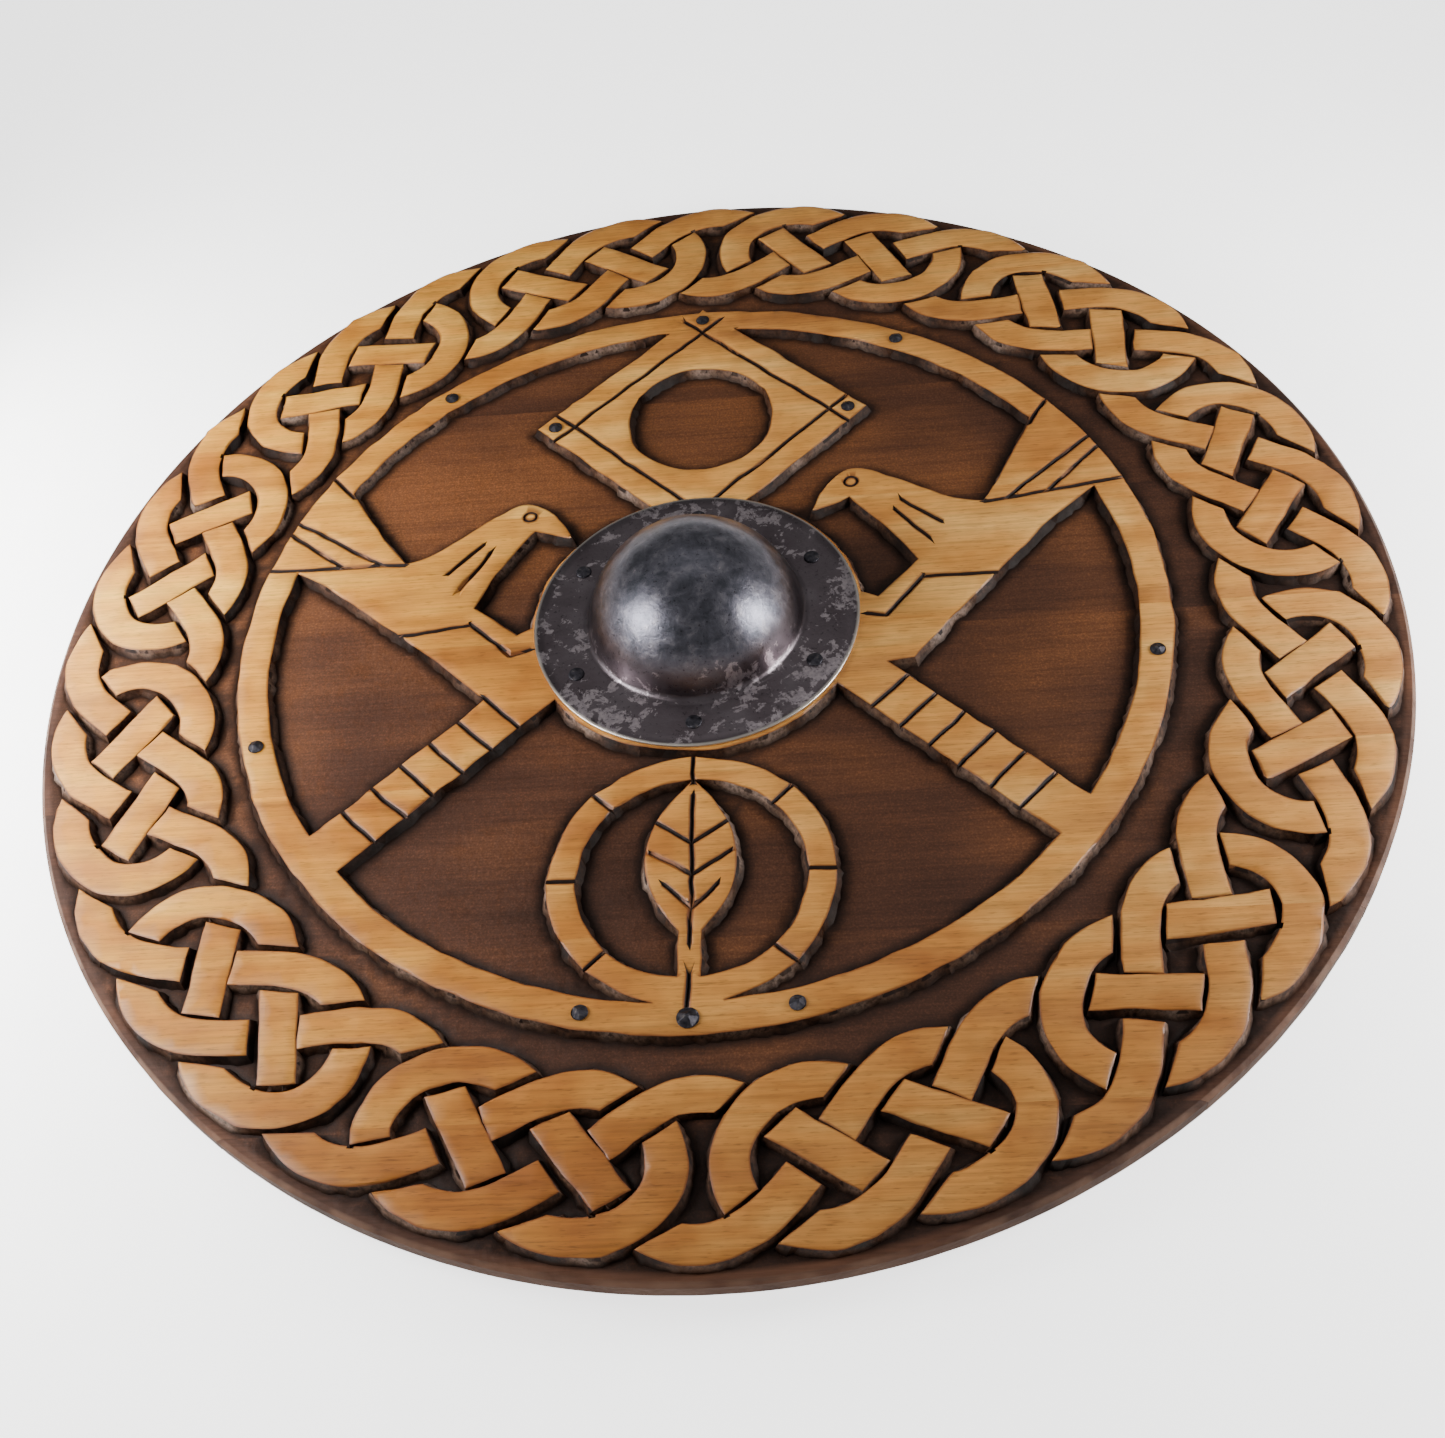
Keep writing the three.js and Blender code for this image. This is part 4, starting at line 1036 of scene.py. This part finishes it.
# %% Plates and battens with worn edges
def worn_copy(name, width, finish):
    mesh = bmesh.new()
    mesh.from_mesh(nodes[name].data)
    bmesh.ops.remove_doubles(mesh, verts=mesh.verts, dist=0.01 * MM)
    bmesh.ops.dissolve_limit(mesh, angle_limit=math.radians(1), verts=mesh.verts, edges=mesh.edges)
    sharp = [e for e in mesh.edges if len(e.link_faces) == 2 and e.calc_face_angle(0) > CORNER]
    bmesh.ops.bevel(mesh, geom=sharp, offset=width * MM, offset_type="OFFSET", segments=3, profile=0.6,
                    affect="EDGES", clamp_overlap=True)
    return fitted(placed("worn_" + name, mesh), name, finish)


for name in sorted(nodes):
    if name.startswith("boss_rove"):
        worn_copy(name, 0.35, iron)
    if name in ("batten_left", "batten_right"):
        worn_copy(name, 0.8, batten_ash)
print("plates and battens have worn edges")

# %% [markdown]
# The screws of the battens are countersunk, with a cross in the head. The cross could be cut out with a
# boolean, which leaves long thin faces. Here the head is a flat disc of many small faces instead, and the
# ones under the cross are pushed in. The thread is a stack of rings, as its pitch is hidden in the wood.

# %% Screws with a crossed head
SCREW_HEAD, SCREW_SHANK, THREAD = 4.2, 2.0, 0.35
RING_GAP, RINGS, PITCH = 0.15, 28, 1.0
CROSS_REACH, CROSS_HALF, CROSS_DEPTH = 2.4, 0.42, 1.3
for name, low, high, centre in fittings("batten_screw"):
    turn = random.Random(name).uniform(0, math.pi / 2)

    def cross(point, centre=centre, turn=turn, face=low.z):
        if point.z / MM > face + 0.01:
            return Vector()
        away = point.to_2d() / MM - centre
        across = min(abs(away.x * math.cos(turn) + away.y * math.sin(turn)),
                     abs(away.y * math.cos(turn) - away.x * math.sin(turn)))
        wall = ease((CROSS_HALF + 0.2 - across) / 0.2) * ease((CROSS_REACH - away.length) / 0.3)
        return Vector((0, 0, CROSS_DEPTH * wall * MM))

    disc = [(RING_GAP * k, low.z) for k in range(RINGS)]
    thread = []
    z = low.z + 3.0
    while z < high.z - 2.5:
        thread += [(SCREW_SHANK - THREAD, z), (SCREW_SHANK, z + PITCH / 2)]
        z += PITCH
    cone = [(SCREW_HEAD, low.z), (SCREW_HEAD, low.z + 0.2), (SCREW_SHANK - THREAD, low.z + 2.5)]
    profile = [*disc, *cone, *thread, (0.0, high.z)]
    screw = turned_mesh("crossed_" + name, profile, 48, centre, cross)
    fitted(screw, name, zinc)
print("screws cut")

# %% [markdown]
# The grip was shaped with a drawknife from one lath: wide where it is riveted to the board, tapered to the
# ends, and rounded where the hand closes on it. A bevel on the CAD mesh would be as round everywhere. So its
# section is measured here on the CAD solid every few millimetres, from the sides and from above and below,
# and a ring of points with rounded corners is laid round each section, softer in the hand. The knife's long
# flats come from a noise that changes slowly along the grain.

# %% The grip
grip_node = nodes["grip"]
grip_surface = BVHTree.FromObject(grip_node, bpy.context.evaluated_depsgraph_get())
low, high = box_mm("grip")
middle_x = (low.x + high.x) / 2


def reach_from(start, way):
    hit = grip_surface.ray_cast(Vector(start) * MM, Vector(way))[0]
    return None if hit is None else hit / MM


STATIONS, MID_HEIGHT, OFF_CENTRE = 120, 9, 5.5
BESIDE, BELOW, ABOVE = 60, -20, 80
CORNER_STEPS, EDGE_SOFT, HAND_SOFT = 5, 1.6, 3.4
SHAVE, SHAVE_MEAN, SHAVE_LENGTH = 0.3, 0.25, 38
sections = []
for k in range(STATIONS + 1):
    y = low.y + 0.05 + (high.y - low.y - 0.1) * k / STATIONS
    left = reach_from((middle_x - BESIDE, y, MID_HEIGHT), (1, 0, 0))
    right = reach_from((middle_x + BESIDE, y, MID_HEIGHT), (-1, 0, 0))
    under = reach_from((middle_x + OFF_CENTRE, y, BELOW), (0, 0, 1))
    over = reach_from((middle_x + OFF_CENTRE, y, ABOVE), (0, 0, -1))
    if None not in (left, right, under, over):
        sections.append((y, left.x, right.x, under.z, over.z))
mesh = bmesh.new()
rings = []
for y, left, right, under, over in sections:
    in_hand = ease((HAND_HOLE - abs(y - BOSS_Y)) / 8)
    soft = EDGE_SOFT + HAND_SOFT * in_hand
    corners = []
    for x, z, start in ((right - soft, under + soft, -90), (right - soft, over - soft, 0),
                        (left + soft, over - soft, 90), (left + soft, under + soft, 180)):
        for step in range(CORNER_STEPS):
            angle = math.radians(start + 90 * step / (CORNER_STEPS - 1))
            corners.append((x + soft * math.cos(angle), z + soft * math.sin(angle)))
    ring = []
    for i, (x, z) in enumerate(corners):
        shave = SHAVE * noise.noise(Vector((i * 0.31, y / SHAVE_LENGTH, 5.5))) - SHAVE_MEAN
        out = Vector((x - (left + right) / 2, z - (under + over) / 2)).normalized()
        ring.append(mesh.verts.new(Vector((x + shave * out.x, y, z + shave * out.y)) * MM))
    rings.append(ring)
for first, second in zip(rings, rings[1:]):
    for i in range(len(first)):
        mesh.faces.new((first[i - 1], first[i], second[i], second[i - 1]))
mesh.faces.new(rings[0])
mesh.faces.new(rings[-1])
bmesh.ops.recalc_face_normals(mesh, faces=mesh.faces)
for face in mesh.faces:
    face.smooth = len(face.verts) == 4
fitted(placed("shaped_grip", mesh), "grip", grip_ash)
print("grip sections:", len(sections))

# %% [markdown]
# The shield lies on a plain pale floor, a sheet of matt studio paper. It glows a little, as paper does that
# is lit from behind, so that it stays pale under lamps that are near the shield.

# %% Floor
mesh = bmesh.new()
bmesh.ops.create_grid(mesh, x_segments=2, y_segments=2, size=6.0)
floor = placed("studio_floor", mesh)
floor.location.z = -0.4 * MM
paper, tree, shader, place = new_material("pale_studio_paper")
fleck = add(tree, "TexNoise", {"Vector": place, "Scale": size(40), "Detail": 4})
pulp = add(tree, "ValToRGB", {"Fac": fleck}, stops=[(0.3, "#f1f0ee"), (0.7, "#f6f5f3")])
fill(tree, shader, {"Base Color": pulp, "Roughness": 0.9, "Emission Color": WHITE, "Emission Strength": 2.3})
floor.data.materials.append(paper)
floor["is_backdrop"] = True
print("floor ready")

# %% [markdown]
# A soft light stands near each side, because the photo's brightness falls off quickly from the rim inwards,
# and each shows as a bright spot on the dome. A long low panel beside each adds light to the rim alone. The
# panels are hidden from reflections, or the steel would mirror them too. A faint light from above and behind
# gives the dark ground its sheen.


# %% Studio light
def softbox(name, where, aim, width, height, watts, mirrored=True):
    light = bpy.data.lights.new(name, "AREA")
    light.shape = "RECTANGLE"
    light.size, light.size_y, light.energy = width, height, watts
    lamp = bpy.data.objects.new(name, light)
    lamp.location = where
    lamp.rotation_euler = (Vector(aim) - Vector(where)).to_track_quat("-Z", "Y").to_euler()
    lamp.visible_glossy = mirrored
    bpy.context.scene.collection.objects.link(lamp)


softbox("left_softbox", (-0.66, -0.25, 0.43), (0, 0, 0.05), 0.32, 0.32, watts=6)
softbox("left_panel", (-0.61, 0.05, 0.21), (-0.1, 0, 0), 0.6, 0.22, watts=7, mirrored=False)
softbox("right_softbox", (0.86, -0.16, 0.32), (0, 0, 0.05), 0.25, 0.25, watts=7.6)
softbox("right_panel", (0.63, 0.1, 0.22), (0.1, 0, 0), 0.6, 0.22, watts=1.4, mirrored=False)
softbox("top_softbox", (0.1, 1.0, 2.2), (0, 0, 0), 2.0, 1.2, watts=3.2)
world = bpy.data.worlds.new("white_studio")
world.use_nodes = True
fill(world.node_tree, world.node_tree.nodes["Background"], {"Color": WHITE, "Strength": 0.2})
bpy.context.scene.world = world
print("studio lit")

# %% [markdown]
# The camera stands above the shield's lower edge and looks down, a little askew, with a lens of about 46 mm,
# so that the near edge looks wider than the far one. Its numbers came from fitting the rim, the ring and the
# boss.

# %% Camera
lens = bpy.data.cameras.new("studio_camera")
lens.lens, lens.sensor_width = 45.78, 36.0
lens.clip_start, lens.clip_end = 0.01, 50
camera = bpy.data.objects.new("studio_camera", lens)
camera.location = (0.10670, -0.74728, 0.88869)
camera.rotation_euler = [math.radians(a) for a in (37.8547, 6.0832, 0.4282)]
bpy.context.scene.collection.objects.link(camera)
bpy.context.scene.camera = camera
print("camera:", [round(v, 3) for v in camera.location])

# %% [markdown]
# At the end the visible shield is measured beside the CAD solid, and both boxes are written down, so that a
# piece that strayed would show.

# %% Measure and finish
low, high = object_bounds()
{"cad": [list(cad_low), list(cad_high)], "visual": [list(low), list(high)]}
print("visual box:", [round(v, 4) for v in (*low, *high)])
